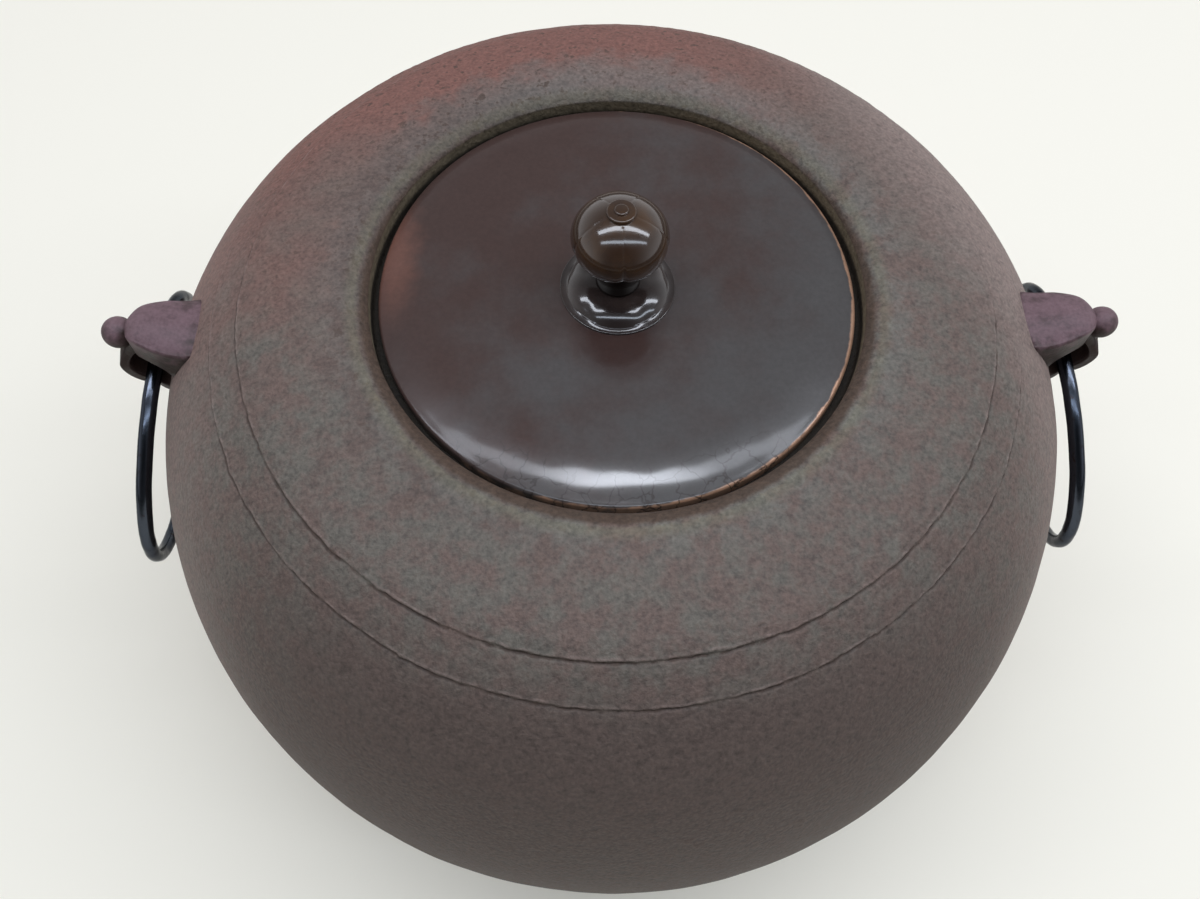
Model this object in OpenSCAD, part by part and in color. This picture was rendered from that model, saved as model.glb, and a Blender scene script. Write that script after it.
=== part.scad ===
// Chagama: a cast-iron tea kettle with a sunk bronze lid and two swinging carrying rings.
// Millimetres. The base stands on z = 0, +Z is up, and the lugs lie along X.

/* [Body] */
// Widest diameter of the body
body_d = 270; // [240:1:300]
// Height of the widest level above the base
belly_z = 95; // [85:1:110]
// Radius of the belly's upper curve, seen from the side
belly_arc = 141; // [125:1:160]
// Radius of the shoulder's curve, seen from the side
shoulder_arc = 76; // [70:1:82]
// Radius of the curve that turns in under the belly
foot_arc = 62; // [50:1:72]
// Height of the sloping rim round the flat base
base_rise = 7.7; // [6:0.1:12]
// Thickness of the cast wall
wall = 3.5; // [3:0.1:5]
// Thickness of the base
base_wall = 5; // [4:0.1:7]
// Height of each of the two raised lines on the shoulder
line_step = 0.4; // [0.2:0.1:1]

/* [Mouth] */
// Inner diameter of the mouth
mouth_d = 123.6; // [110:0.2:130]
// Radius of the rounded lip
lip_r = 3; // [2:0.1:4]
// Depth of the lid's ledge below the top of the lip
ledge_depth = 10; // [8:0.1:14]
// Width of the ledge that carries the lid
ledge_w = 6.2; // [5:0.1:9]
// Thickness of the ledge
ledge_t = 5; // [3:0.1:7]

/* [Lugs] */
// Height of the lug's eye above the base
eye_z = 157.3; // [154:0.1:160]
// Distance from the kettle's side to the middle of the eye
eye_stand = 5.1; // [4.5:0.1:7]
// Diameter of the eye
eye_d = 12; // [11.5:0.1:14]
// Thickness of the strap round the eye
eye_wall = 3; // [2.5:0.1:4.5]
// Height of the lug's top above the middle of the eye
lug_rise = 15.5; // [13:0.1:18]
// Radius of the lug's rounded top, seen from its tip
lug_crown_r = 12.5; // [11:0.1:16]
// Radius of the lug's rounded nose, seen from the front
nose_r = 4.5; // [4:0.1:6]
// Distance from the middle of the eye back to the middle of the nose's round
nose_back = 1.3; // [0:0.1:3]
// Width of the lug at its root
lug_root_w = 17.2; // [14:0.1:20]
// Distance inside the kettle's side where the lug starts to taper
taper_back = 6; // [4:0.1:9]
// Width of the strap and the lug's tip
lug_tip_w = 6.8; // [5:0.1:8]
// Diameter of the ball at the lug's tip
ball_d = 6.8; // [6:0.1:9]
// Diameter of the neck behind the ball
ball_neck_d = 5.4; // [4:0.1:5.8]
// Distance from the middle of the eye out to the middle of the ball
ball_reach = 6.8; // [6:0.1:9]
// Diameter of the spigot that is cast into the wall
spigot_d = 7; // [5:0.1:9]
// Depth of the spigot in the wall
spigot_depth = 2; // [1:0.1:2.4]

/* [Rings] */
// Diameter of the ring along the middle of its wire
ring_d = 80; // [72:0.5:90]
// Thickness of the wire
wire_d = 4.1; // [3.5:0.1:5]
// Room left under the wire in the eye
ring_play = 0.6; // [0.5:0.05:1.5]
// Angle from straight down out to where the wire bears in the eye
bearing_angle = 20; // [0:1:40]
// Width of the split between the wire's ends
split_w = 3; // [2:0.1:6]
// Lean of the hanging ring away from the kettle, in degrees
ring_lean = 14; // [12:0.5:30]

/* [Lid] */
// Gap between the lid and the mouth, all round
lid_gap = 2.2; // [1.5:0.1:3]
// Height of the lid's flat top above its ledge
lid_h = 5.7; // [5.4:0.1:8]
// Thickness of the lid's plate
lid_t = 2.2; // [1.6:0.1:2.6]
// Width of the border that falls in a curve to the lid's edge
lid_border_w = 13.6; // [10:0.1:15]
// Radius of the border's curve, seen from the side
lid_border_arc = 37; // [37:1:60]
// Radius of the lid's rounded edge
lid_bead_r = 1; // [0.6:0.1:1.4]
// Width of the rim that stands on the ledge
lid_rim_w = 3; // [2.5:0.1:4]

/* [Knob] */
// Diameter of the bud
knob_d = 23.4; // [20:0.1:28]
// Height of the bud
knob_h = 17.6; // [14:0.1:20]
// Number of petals on the bud and on its seat
petals = 5; // [4:1:6]
// Width of the grooves between the bud's petals
groove_w = 0.9; // [0.5:0.1:1.5]
// Depth of those grooves
groove_depth = 0.9; // [0.5:0.1:1.5]
// Diameter of the knob's neck
neck_d = 8; // [6.5:0.1:10]
// Height of the neck between its seat and the bud
neck_h = 7.7; // [5:0.1:12]
// Diameter of the neck's spread foot
neck_foot_d = 12; // [10.5:0.1:14]
// Height of the neck's spread foot
neck_foot_h = 1.6; // [1:0.1:2.5]
// Diameter of the blossom seat's flange
seat_d = 28.9; // [27:0.1:32]
// Thickness of the flange
flange_t = 0.5; // [0.4:0.1:1]
// Height of the seat's cushion of petals above the lid
seat_t = 3; // [2.2:0.1:4]
// Diameter of the cushion
cushion_d = 25.8; // [22:0.1:26.5]
// Diameter of the cushion's flat top
cushion_flat_d = 14.8; // [14:0.1:17]
// Width of the creases between the cushion's petals
crease_w = 0.6; // [0.4:0.1:1]
// Depth of those creases
crease_depth = 0.5; // [0.3:0.1:0.8]
// Diameter of the collar on top of the bud
collar_d = 6.8; // [5.5:0.1:9]
// Thickness of the collar
collar_t = 1; // [0.6:0.1:2]
// Diameter of the pin through knob and lid
pin_d = 3.3; // [2.5:0.1:4.5]
// Room round the pin in its holes
pin_room = 0.05; // [0.02:0.01:0.15]
// Height of the pin's upper end above the collar
pin_proud = 0.5; // [0.3:0.1:1]
// Diameter of the pin's riveted lower head
pin_head_d = 6; // [5:0.1:8]
// Thickness of the pin's lower head
pin_head_t = 1; // [0.6:0.1:1.5]
// Diameter of the washer under the lid
washer_d = 14; // [10:0.5:20]
// Thickness of the washer under the lid
washer_t = 1.2; // [0.8:0.1:2]

/* [Singing plates] */
// Length of each plate
plate_l = 28; // [20:0.5:34]
// Width of each plate
plate_w = 13; // [8:0.5:16]
// Thickness of each plate
plate_t = 2.5; // [1.5:0.1:4]
// Distance from the middle of the base to the middle of a plate
plate_reach = 34; // [30:0.5:40]
// Diameter of the lacquer bed under a plate's outer end
bed_d = 11; // [8:0.5:13]
// Thickness of the lacquer bed
bed_t = 1; // [0.6:0.1:2]

/* [Hidden] */
$fn = 96;
plate_count = 5;

// Colours of the metals
iron_color = [0.42, 0.38, 0.35];
lug_color = [0.40, 0.33, 0.35];
ring_color = [0.10, 0.10, 0.12];
bronze_color = [0.30, 0.26, 0.25];
knob_color = [0.26, 0.19, 0.14];
lacquer_color = [0.12, 0.08, 0.07];

// The step between the points of a drawn curve, in degrees
arc_step = 3;
// A depth that carries a cut clear of the face it starts from
clear = 1;
// The angle that a crease on the knob's seat keeps from the ends of its curve, in degrees
crease_margin = 6;

// Angles of the outline's normal above the horizon where one curve meets the next
belly_angle = 22;
outer_line_angle = 50;
inner_line_angle = 60;
crown_angle = 70;
lower_angle = 30;
foot_angle = 70;
collar_angle = 86;

// A unit vector at angle a
function along(a) = [cos(a), sin(a)];

// Points of an arc about a centre, from one angle to another; skip = 1 leaves out its first point
function arc(center, radius, from, to, skip = 0) =
    let (n = ceil(abs(to - from) / arc_step))
    [for (i = [skip:n]) center + radius * along(from + (to - from) * i / n)];

// The outline above the widest level: belly, shoulder and crown arcs
mouth_r = mouth_d / 2;
belly_center = [body_d / 2 - belly_arc, belly_z];
belly_end = belly_center + belly_arc * along(belly_angle);
shoulder_center = belly_end - shoulder_arc * along(belly_angle);
shoulder_end = shoulder_center + shoulder_arc * along(inner_line_angle);
crown_arc = (shoulder_end.x - mouth_r - lip_r) / cos(crown_angle);
crown_center = [mouth_r + lip_r, shoulder_end.y - crown_arc * sin(crown_angle)];
crest_z = crown_center.y + crown_arc + 2 * line_step;

// The outline below the widest level: a lower arc, a foot arc and a sloping rim
foot_turn = foot_arc * (sin(foot_angle) - sin(lower_angle));
lower_arc = (belly_z - base_rise - foot_turn) / sin(lower_angle);
lower_center = [body_d / 2 - lower_arc, belly_z];
lower_end = lower_center + lower_arc * along(-lower_angle);
foot_center = lower_end - foot_arc * along(-lower_angle);
foot_end = foot_center + foot_arc * along(-foot_angle);
base_r = foot_end.x - foot_end.y * tan(foot_angle);
inner_foot = foot_center + (foot_arc - wall) * along(-foot_angle);
floor_r = inner_foot.x - (inner_foot.y - base_wall) * tan(foot_angle);

// The ledge in the mouth
ledge_z = crest_z - ledge_depth;
ledge_r = mouth_r - ledge_w;
collar_top = crown_center + (crown_arc - wall) * along(collar_angle);

// The kettle's outer radius at height z on the belly or the shoulder
function shell_r(z) =
    z < belly_end.y
        ? belly_center.x + sqrt(pow(belly_arc, 2) - pow(z - belly_center.y, 2))
        : shoulder_center.x + sqrt(pow(shoulder_arc, 2) - pow(z - shoulder_center.y, 2));

// Lug and ring places
eye_r = eye_d / 2;
eye_x = shell_r(eye_z) + eye_stand;
lug_top = eye_z + lug_rise;
nose_x = eye_x - nose_back;
nose_z = lug_top - nose_r;
ball_x = eye_x + ball_reach;
root_x = shell_r(nose_z);
root_angle = asin((nose_z - shoulder_center.y) / shoulder_arc);
wire_drop = eye_r - wire_d / 2 - ring_play;
hinge_x = eye_x + wire_drop * sin(bearing_angle);
hinge_z = eye_z - wire_drop * cos(bearing_angle);
split_angle = split_w / (ring_d / 2) * 180 / PI;
// Where round its circle the ring is split, from the eye towards the back
split_place = 150;

// Heights in the lid and the knob
lid_r = mouth_r - lid_gap;
lid_top = ledge_z + lid_h;
lid_under = lid_top - lid_t;
seat_top = lid_top + seat_t;
bud_z = seat_top + neck_h + knob_h / 2;
collar_z = bud_z + knob_h / 2 * sqrt(1 - pow(collar_d / knob_d, 2));
pin_top = collar_z + collar_t + pin_proud;
washer_bottom = lid_under - washer_t;
pin_hole_r = pin_d / 2 + pin_room;

// Points of the kettle's outside from the middle of the base up to the crest
function outside() = concat(
    [[0, 0], [base_r, 0]],
    arc(foot_center, foot_arc, -foot_angle, -lower_angle),
    arc(lower_center, lower_arc, -lower_angle, 0, 1),
    arc(belly_center, belly_arc, 0, belly_angle, 1),
    arc(shoulder_center, shoulder_arc, belly_angle, outer_line_angle, 1),
    arc(shoulder_center, shoulder_arc + line_step, outer_line_angle, inner_line_angle),
    arc(crown_center, crown_arc + 2 * line_step, crown_angle, 90)
);

// Points of the lip, the mouth and the ledge, from the crest down to the ledge's underside
function mouth_side() = concat(
    arc([mouth_r + lip_r, crest_z - lip_r], lip_r, 90, 180, 1),
    [[mouth_r, ledge_z], [ledge_r, ledge_z], [ledge_r, ledge_z - ledge_t]],
    [[collar_top.x, ledge_z - ledge_t]]
);

// Points of the inside wall from the ledge down to the middle of the floor
function inside() = concat(
    arc(crown_center, crown_arc - wall, collar_angle, crown_angle),
    arc(shoulder_center, shoulder_arc - wall, inner_line_angle, belly_angle),
    arc(belly_center, belly_arc - wall, belly_angle, 0, 1),
    arc(lower_center, lower_arc - wall, 0, -lower_angle, 1),
    arc(foot_center, foot_arc - wall, -lower_angle, -foot_angle, 1),
    [[floor_r, base_wall], [0, base_wall]]
);

// The kettle's outer shape without its hollow
module kettle_outside() {
    rotate_extrude()
        polygon(concat(outside(), [[0, crest_z]]));
}

// The pin-shaped root of the right lug, square to the kettle's wall
module lug_spigot(proud) {
    translate([root_x, 0, nose_z])
        rotate([0, 90 - root_angle, 0])
            translate([0, 0, -spigot_depth])
                cylinder(d = spigot_d, h = spigot_depth + proud);
}

// The cast body with its mouth, ledge and raised lines
module kettle_body() {
    color(iron_color)
        difference() {
            rotate_extrude()
                polygon(concat(outside(), mouth_side(), inside()));
            for (side = [0, 1])
                mirror([side, 0, 0])
                    lug_spigot(clear);
        }
}

// The right lug seen from the front: a hood with a round nose over the strap round the eye
module lug_side() {
    inner_x = root_x - lug_root_w;
    translate([eye_x, eye_z])
        circle(r = eye_r + eye_wall);
    translate([nose_x, nose_z])
        circle(r = nose_r);
    translate([inner_x, eye_z])
        square([nose_x - inner_x, lug_rise]);
}

// The right lug seen from above: a half ellipse that narrows to the nose, and the strap's strip
module lug_plan() {
    start_x = root_x - taper_back;
    reach = nose_x + nose_r - start_x;
    flank = [for (a = [0:arc_step * 2:90]) [start_x + reach * sin(a), lug_root_w / 2 * cos(a)]];
    translate([start_x - lug_root_w, -lug_root_w / 2])
        square([lug_root_w, lug_root_w]);
    for (side = [0, 1])
        mirror([0, side])
            polygon(concat([[start_x, 0]], flank));
    translate([start_x, -lug_tip_w / 2])
        square([ball_x + ball_d - start_x, lug_tip_w]);
}

// The right lug: its two outlines and its rounded top, seated on the kettle's side
module lug_form() {
    inner_x = root_x - lug_root_w;
    difference() {
        union() {
            intersection() {
                rotate([90, 0, 0])
                    linear_extrude(lug_root_w * 3, center = true)
                        lug_side();
                translate([0, 0, eye_z - lug_rise])
                    linear_extrude(lug_rise * 3)
                        lug_plan();
                translate([inner_x, 0, lug_top - lug_crown_r])
                    rotate([0, 90, 0])
                        cylinder(r = lug_crown_r, h = ball_x + ball_d - inner_x);
            }
            translate([nose_x, 0, nose_z])
                rotate([0, 90, 0])
                    cylinder(d = ball_neck_d, h = ball_x - nose_x);
            translate([ball_x, 0, nose_z])
                sphere(d = ball_d);
        }
        translate([eye_x, 0, eye_z])
            rotate([90, 0, 0])
                cylinder(r = eye_r, h = lug_root_w * 3, center = true);
        kettle_outside();
    }
    lug_spigot(clear);
}

module right_lug() {
    color(lug_color)
        lug_form();
}

module left_lug() {
    color(lug_color)
        mirror([1, 0, 0])
            lug_form();
}

// The right ring: split wire hanging in the eye, leaning out over the belly
module ring_form() {
    translate([hinge_x, 0, hinge_z])
        rotate([0, -ring_lean, 0])
            translate([0, 0, -ring_d / 2])
                rotate([0, 90, 0])
                    rotate([0, 0, 180 - split_place + split_angle / 2])
                        rotate_extrude(angle = 360 - split_angle)
                            translate([ring_d / 2, 0])
                                circle(d = wire_d);
}

module right_ring() {
    color(ring_color)
        ring_form();
}

module left_ring() {
    color(ring_color)
        mirror([1, 0, 0])
            ring_form();
}

// The lid: a flat plate whose border falls in a curve to a rounded edge, hollow below within a standing rim
module lid_plate() {
    center = [lid_r - lid_border_w, lid_top - lid_border_arc];
    bead_angle = acos((lid_border_w - lid_bead_r) / (lid_border_arc - lid_bead_r));
    bead = center + (lid_border_arc - lid_bead_r) * along(bead_angle);
    under_arc = lid_border_arc - lid_t;
    rim_angle = acos((lid_border_w - lid_rim_w) / under_arc);
    color(bronze_color)
        rotate_extrude()
            polygon(concat(
                [[pin_hole_r, lid_under]],
                arc(center, under_arc, 90, rim_angle),
                [[lid_r - lid_rim_w, ledge_z], [lid_r, ledge_z]],
                arc(bead, lid_bead_r, 0, bead_angle),
                arc(center, lid_border_arc, bead_angle, 90, 1),
                [[pin_hole_r, lid_top]]
            ));
}

// The seat under the knob: a thin flange with a cushion of petals on it, one petal to the front
module knob_seat() {
    fall_w = (cushion_d - cushion_flat_d) / 2;
    fall_h = seat_t - flange_t;
    cushion_arc = (pow(fall_w, 2) + pow(fall_h, 2)) / (2 * fall_h);
    center = [cushion_flat_d / 2, seat_top - cushion_arc];
    edge_angle = atan2(cushion_arc - fall_h, fall_w);
    color(knob_color)
        difference() {
            rotate_extrude()
                polygon(concat(
                    [[pin_hole_r, lid_top], [seat_d / 2, lid_top], [seat_d / 2, lid_top + flange_t]],
                    arc(center, cushion_arc, edge_angle, 90),
                    [[pin_hole_r, seat_top]]
                ));
            for (i = [0:petals - 1])
                rotate([90, 0, 270 + (i + 0.5) * 360 / petals])
                    linear_extrude(crease_w, center = true)
                        polygon(concat(
                            arc(center, cushion_arc + clear, edge_angle + crease_margin, 90 - crease_margin),
                            arc(center, cushion_arc - crease_depth, 90 - crease_margin, edge_angle + crease_margin)
                        ));
        }
}

// A point of the bud's side, grown by a distance, at angle a above its widest level
function bud_point(a, grow) = [(knob_d / 2 + grow) * cos(a), bud_z + (knob_h / 2 + grow) * sin(a)];

// The bud on its neck, with a groove between each two petals
module knob() {
    under = -acos(neck_d / knob_d);
    over = acos(collar_d / knob_d);
    steps = 24;
    side = [for (i = [0:steps]) bud_point(under + (over - under) * i / steps, 0)];
    groove_low = under * 0.7;
    groove_high = over * 0.85;
    groove_angles = [for (i = [0:steps]) groove_low + (groove_high - groove_low) * i / steps];
    outer = [for (a = groove_angles) bud_point(a, clear)];
    inner = [for (i = [steps:-1:0]) bud_point(groove_angles[i], -groove_depth)];
    color(knob_color)
        difference() {
            rotate_extrude()
                polygon(concat(
                    [[pin_hole_r, seat_top], [neck_foot_d / 2, seat_top]],
                    [[neck_d / 2, seat_top + neck_foot_h]],
                    side,
                    [[pin_hole_r, collar_z]]
                ));
            for (i = [0:petals - 1])
                rotate([90, 0, 270 + i * 360 / petals])
                    linear_extrude(groove_w, center = true)
                        polygon(concat(outer, inner));
        }
}

// The small round step on top of the bud
module knob_collar() {
    color(knob_color)
        translate([0, 0, collar_z])
            difference() {
                cylinder(d = collar_d, h = collar_t);
                translate([0, 0, -clear])
                    cylinder(r = pin_hole_r, h = collar_t + 2 * clear);
            }
}

// The pin from its riveted head under the lid to its end above the collar
module knob_pin() {
    color(bronze_color) {
        translate([0, 0, washer_bottom - pin_head_t])
            cylinder(d = pin_d, h = pin_top - washer_bottom + pin_head_t);
        translate([0, 0, washer_bottom - pin_head_t])
            cylinder(d = pin_head_d, h = pin_head_t);
    }
}

// The washer between the pin's head and the lid
module pin_washer() {
    color(bronze_color)
        translate([0, 0, washer_bottom])
            difference() {
                cylinder(d = washer_d, h = washer_t);
                translate([0, 0, -clear])
                    cylinder(r = pin_hole_r, h = washer_t + 2 * clear);
            }
}

// Plate number i on the kettle's floor, held at its outer end
module singing_plate(i) {
    color(iron_color)
        rotate([0, 0, 90 + i * 360 / plate_count])
            translate([plate_reach - plate_l / 2, -plate_w / 2, base_wall + bed_t])
                cube([plate_l, plate_w, plate_t]);
}

// The lacquer under plate number i
module lacquer_bed(i) {
    color(lacquer_color)
        rotate([0, 0, 90 + i * 360 / plate_count])
            translate([plate_reach + (plate_l - bed_d) / 2, 0, base_wall])
                cylinder(d = bed_d, h = bed_t);
}

kettle_body();
left_lug();
right_lug();
left_ring();
right_ring();
lid_plate();
knob_seat();
knob();
knob_collar();
knob_pin();
pin_washer();
for (i = [1:plate_count]) {
    singing_plate(i);
    lacquer_bed(i);
}
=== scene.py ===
"""A cast-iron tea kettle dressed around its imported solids: iron skins, a bronze lid and soft studio light."""

import math

import bpy
import numpy as np
from mathutils import Matrix, Vector


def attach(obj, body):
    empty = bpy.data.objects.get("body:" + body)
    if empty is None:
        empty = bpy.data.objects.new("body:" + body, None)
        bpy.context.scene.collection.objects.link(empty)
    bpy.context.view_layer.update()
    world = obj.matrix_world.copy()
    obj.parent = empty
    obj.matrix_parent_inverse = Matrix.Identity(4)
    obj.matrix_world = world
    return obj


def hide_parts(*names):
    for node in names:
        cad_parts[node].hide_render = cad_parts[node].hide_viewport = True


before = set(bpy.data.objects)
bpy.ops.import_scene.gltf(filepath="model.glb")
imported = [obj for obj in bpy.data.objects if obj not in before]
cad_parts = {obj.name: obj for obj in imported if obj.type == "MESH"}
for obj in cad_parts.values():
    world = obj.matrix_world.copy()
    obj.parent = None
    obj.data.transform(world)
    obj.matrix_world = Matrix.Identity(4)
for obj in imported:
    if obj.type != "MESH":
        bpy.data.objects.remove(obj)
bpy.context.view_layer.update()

bl_info = {
    "name": "Tea kettle looks",
    "version": (1, 0, 0),
    "blender": (4, 5, 0),
    "location": "View3D > Sidebar > Kettle",
    "description": "Builds the skins, metals and studio of a cast-iron tea kettle",
    "category": "Object",
}

MM = 0.001
TURN = 2 * math.pi
PLATE_COUNT = 5
SIDES = {"left": -1, "right": 1}
# The bud's front valley and the seat's front petal don't quite face the front
BUD_TURN = math.radians(273)
SEAT_TURN = math.radians(265)
# Room, in millimetres, between the pin and the holes that it passes through
PIN_PLAY = 0.05
# Radius, in millimetres, of the smallest loop in the middle of base and floor
MIDDLE = 0.5

# Angles, in degrees above level, at which the arcs of the body's outline start and end
FOOT_END = -70
LOWER_END = -30
BELLY_END = 22
SHOULDER_END = 60
CROWN_START = 70
COLLAR_START = 86
LIP_END = 150
# Angles on the shoulder's arc of the outer and the inner raised line
LINES = (50, 58.2)

# The camera stands in front of the kettle and looks steeply down on it
CAMERA_PLACE = (-0.01084, -0.14780, 0.39235)
CAMERA_PITCH = math.radians(63.53)
CAMERA_YAW = math.radians(3.034)
CAMERA_ROLL = math.radians(1.959)
CAMERA_LENS = 30.0
CAMERA_SENSOR = 36.0


def linear(code):
    """The linear red, green, blue and alpha of an sRGB hex colour."""
    parts = [int(code[i:i + 2], 16) / 255 for i in (1, 3, 5)]
    light = [c / 12.92 if c <= 0.04045 else ((c + 0.055) / 1.055) ** 2.4 for c in parts]
    return (*light, 1.0)


def length(name, description, millimetres):
    """A length property in metres, given in millimetres."""
    return bpy.props.FloatProperty(
        name=name, description=description, default=millimetres * MM, unit="LENGTH", precision=4
    )


def tone(name, description, code):
    """A colour property, given as an sRGB hex colour."""
    return bpy.props.FloatVectorProperty(
        name=name, description=description, default=linear(code), size=4, subtype="COLOR", min=0, max=1
    )


class BodySizes(bpy.types.PropertyGroup):
    """Sizes of the cast body."""

    width: length("Width", "Widest diameter of the body", 270)
    belly_z: length("Belly height", "Height of the widest level", 95)
    belly_arc: length("Belly arc", "Radius of the belly's upper curve", 141)
    shoulder_arc: length("Shoulder arc", "Radius of the shoulder's curve", 76)
    foot_arc: length("Foot arc", "Radius of the curve under the belly", 62)
    base_rise: length("Base rise", "Height of the sloping rim round the base", 7.7)
    wall: length("Wall", "Thickness of the cast wall", 3.5)
    base_wall: length("Base wall", "Thickness of the base", 5)
    line_step: length("Line step", "Height of each raised line on the shoulder", 0.4)
    line_groove: length("Line groove", "Depth of the furrow under each raised line", 0.3)
    line_ridge: length("Line ridge", "Height of the ridge along each raised line", 0.11)
    mouth: length("Mouth", "Inner diameter of the mouth", 123.6)
    lip: length("Lip", "Distance from the mouth to the crest of the crown's curve", 3)
    roll: length("Roll", "Radius of the curve that leads over the lip", 6.2)
    edge: length("Edge", "Radius of the lip's inner edge", 0.8)
    ledge_depth: length("Ledge depth", "Depth of the lid's ledge below the lip", 10)
    ledge_width: length("Ledge width", "Width of the lid's ledge", 6.2)
    ledge_thickness: length("Ledge thickness", "Thickness of the lid's ledge", 5)
    unevenness: length("Unevenness", "Height of the casting's soft waves", 0.12)


class LugSizes(bpy.types.PropertyGroup):
    """Sizes of the two lugs."""

    eye_z: length("Eye height", "Height of the eye above the base", 157.3)
    eye_stand: length("Eye stand", "Distance from the kettle's side to the eye's middle", 5.1)
    eye: length("Eye", "Diameter of the eye", 12)
    strap: length("Strap", "Thickness of the strap round the eye", 3)
    strap_width: length("Strap width", "Width of the strap's outer end", 8.8)
    rise: length("Rise", "Height of the hood's bulge above the eye's middle", 16.6)
    root_rise: length("Root rise", "Height of the hood's root above the eye's middle", 14.6)
    nose: length("Nose", "Distance from the eye's middle out to the hood's nose", 4.4)
    root_width: length("Root width", "Width of the hood at its root", 18.5)
    taper: length("Taper", "Length over which the hood rounds in to its nose", 22)
    nose_drop: length("Nose drop", "Fall of the hood's top to its flank near the nose", 1.7)
    root_drop: length("Root drop", "Fall of the hood's top to its flank at the root", 3.6)
    ball: length("Ball", "Diameter of the ball at the tip", 8.4)
    ball_reach: length("Ball reach", "Distance from the eye's middle out to the ball's middle", 5.8)
    ball_rise: length("Ball rise", "Height of the ball above the eye's middle", 11)


class RingSizes(bpy.types.PropertyGroup):
    """Sizes of the two carrying rings."""

    width: length("Width", "Diameter along the middle of the wire", 80)
    wire: length("Wire", "Thickness of the wire", 4.1)
    play: length("Play", "Room left under the wire in the eye", 0.6)
    split: length("Split", "Width of the split between the wire's ends", 3)
    bearing: bpy.props.FloatProperty(
        name="Bearing", description="Angle from straight down out to where the wire bears",
        default=math.radians(20), unit="ROTATION"
    )
    lean: bpy.props.FloatProperty(
        name="Lean", description="Lean of the hanging ring away from the kettle",
        default=math.radians(14), unit="ROTATION"
    )
    split_place: bpy.props.FloatProperty(
        name="Split place", description="Angle from the eye round the back to the split",
        default=math.radians(150), unit="ROTATION"
    )


class LidSizes(bpy.types.PropertyGroup):
    """Sizes of the lid, its knob and the knob's fixing."""

    gap: length("Gap", "Gap between the lid and the mouth", 1.9)
    drift: length("Drift", "How far the lid's rim lies towards the back", 0.4)
    lift: length("Lift", "How much less the border falls at the back", 0.8)
    height: length("Height", "Height of the lid's flat top above its ledge", 5.7)
    thickness: length("Thickness", "Thickness of the lid's plate", 2.2)
    border: length("Border", "Width of the border that falls in a curve to the edge", 11.6)
    border_arc: length("Border arc", "Radius of the border's curve", 37)
    bead: length("Bead", "Radius of the lid's rounded edge", 1)
    rim: length("Rim", "Width of the rim that stands on the ledge", 3)
    bud: length("Bud", "Diameter of the bud", 23.4)
    bud_height: length("Bud height", "Height of the bud", 17.6)
    neck: length("Neck", "Diameter of the neck", 8)
    neck_height: length("Neck height", "Height of the neck between seat and bud", 7.7)
    neck_foot: length("Neck foot", "Diameter of the neck's spread foot", 11)
    seat_width: length("Seat width", "Diameter of the seat's flange", 28.9)
    flange: length("Flange", "Thickness of the seat's flange", 0.5)
    seat: length("Seat", "Height of the seat's cushion of petals above the lid", 3)
    cushion: length("Cushion", "Diameter of the cushion", 25.8)
    cushion_top: length("Cushion top", "Diameter of the cushion's flat top", 14.8)
    crease: length("Crease", "Depth of the creases between the seat's petals", 0.22)
    collar: length("Collar", "Diameter of the step on top of the bud", 6.8)
    collar_height: length("Collar height", "Thickness of that step", 1)
    pin: length("Pin", "Diameter of the pin through knob and lid", 3.3)
    pin_proud: length("Pin end", "Height of the pin's end above the step", 0.5)
    pin_head: length("Pin head", "Diameter of the pin's riveted head", 6)
    pin_head_height: length("Pin head height", "Thickness of the pin's head", 1)
    washer: length("Washer", "Diameter of the washer under the lid", 14)
    washer_height: length("Washer height", "Thickness of the washer", 1.2)
    petals: bpy.props.IntProperty(
        name="Petals", description="Number of petals on bud and seat", default=5, min=4, max=6
    )


class PlateSizes(bpy.types.PropertyGroup):
    """Sizes of the singing plates on the kettle's floor."""

    length: length("Length", "Length of each plate", 28)
    width: length("Width", "Width of each plate", 13)
    thickness: length("Thickness", "Thickness of each plate", 2.5)
    reach: length("Reach", "Distance from the base's middle to a plate's middle", 34)
    bed: length("Bed", "Diameter of the lacquer under a plate's outer end", 11)
    bed_thickness: length("Bed thickness", "Thickness of that lacquer", 1)


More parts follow.
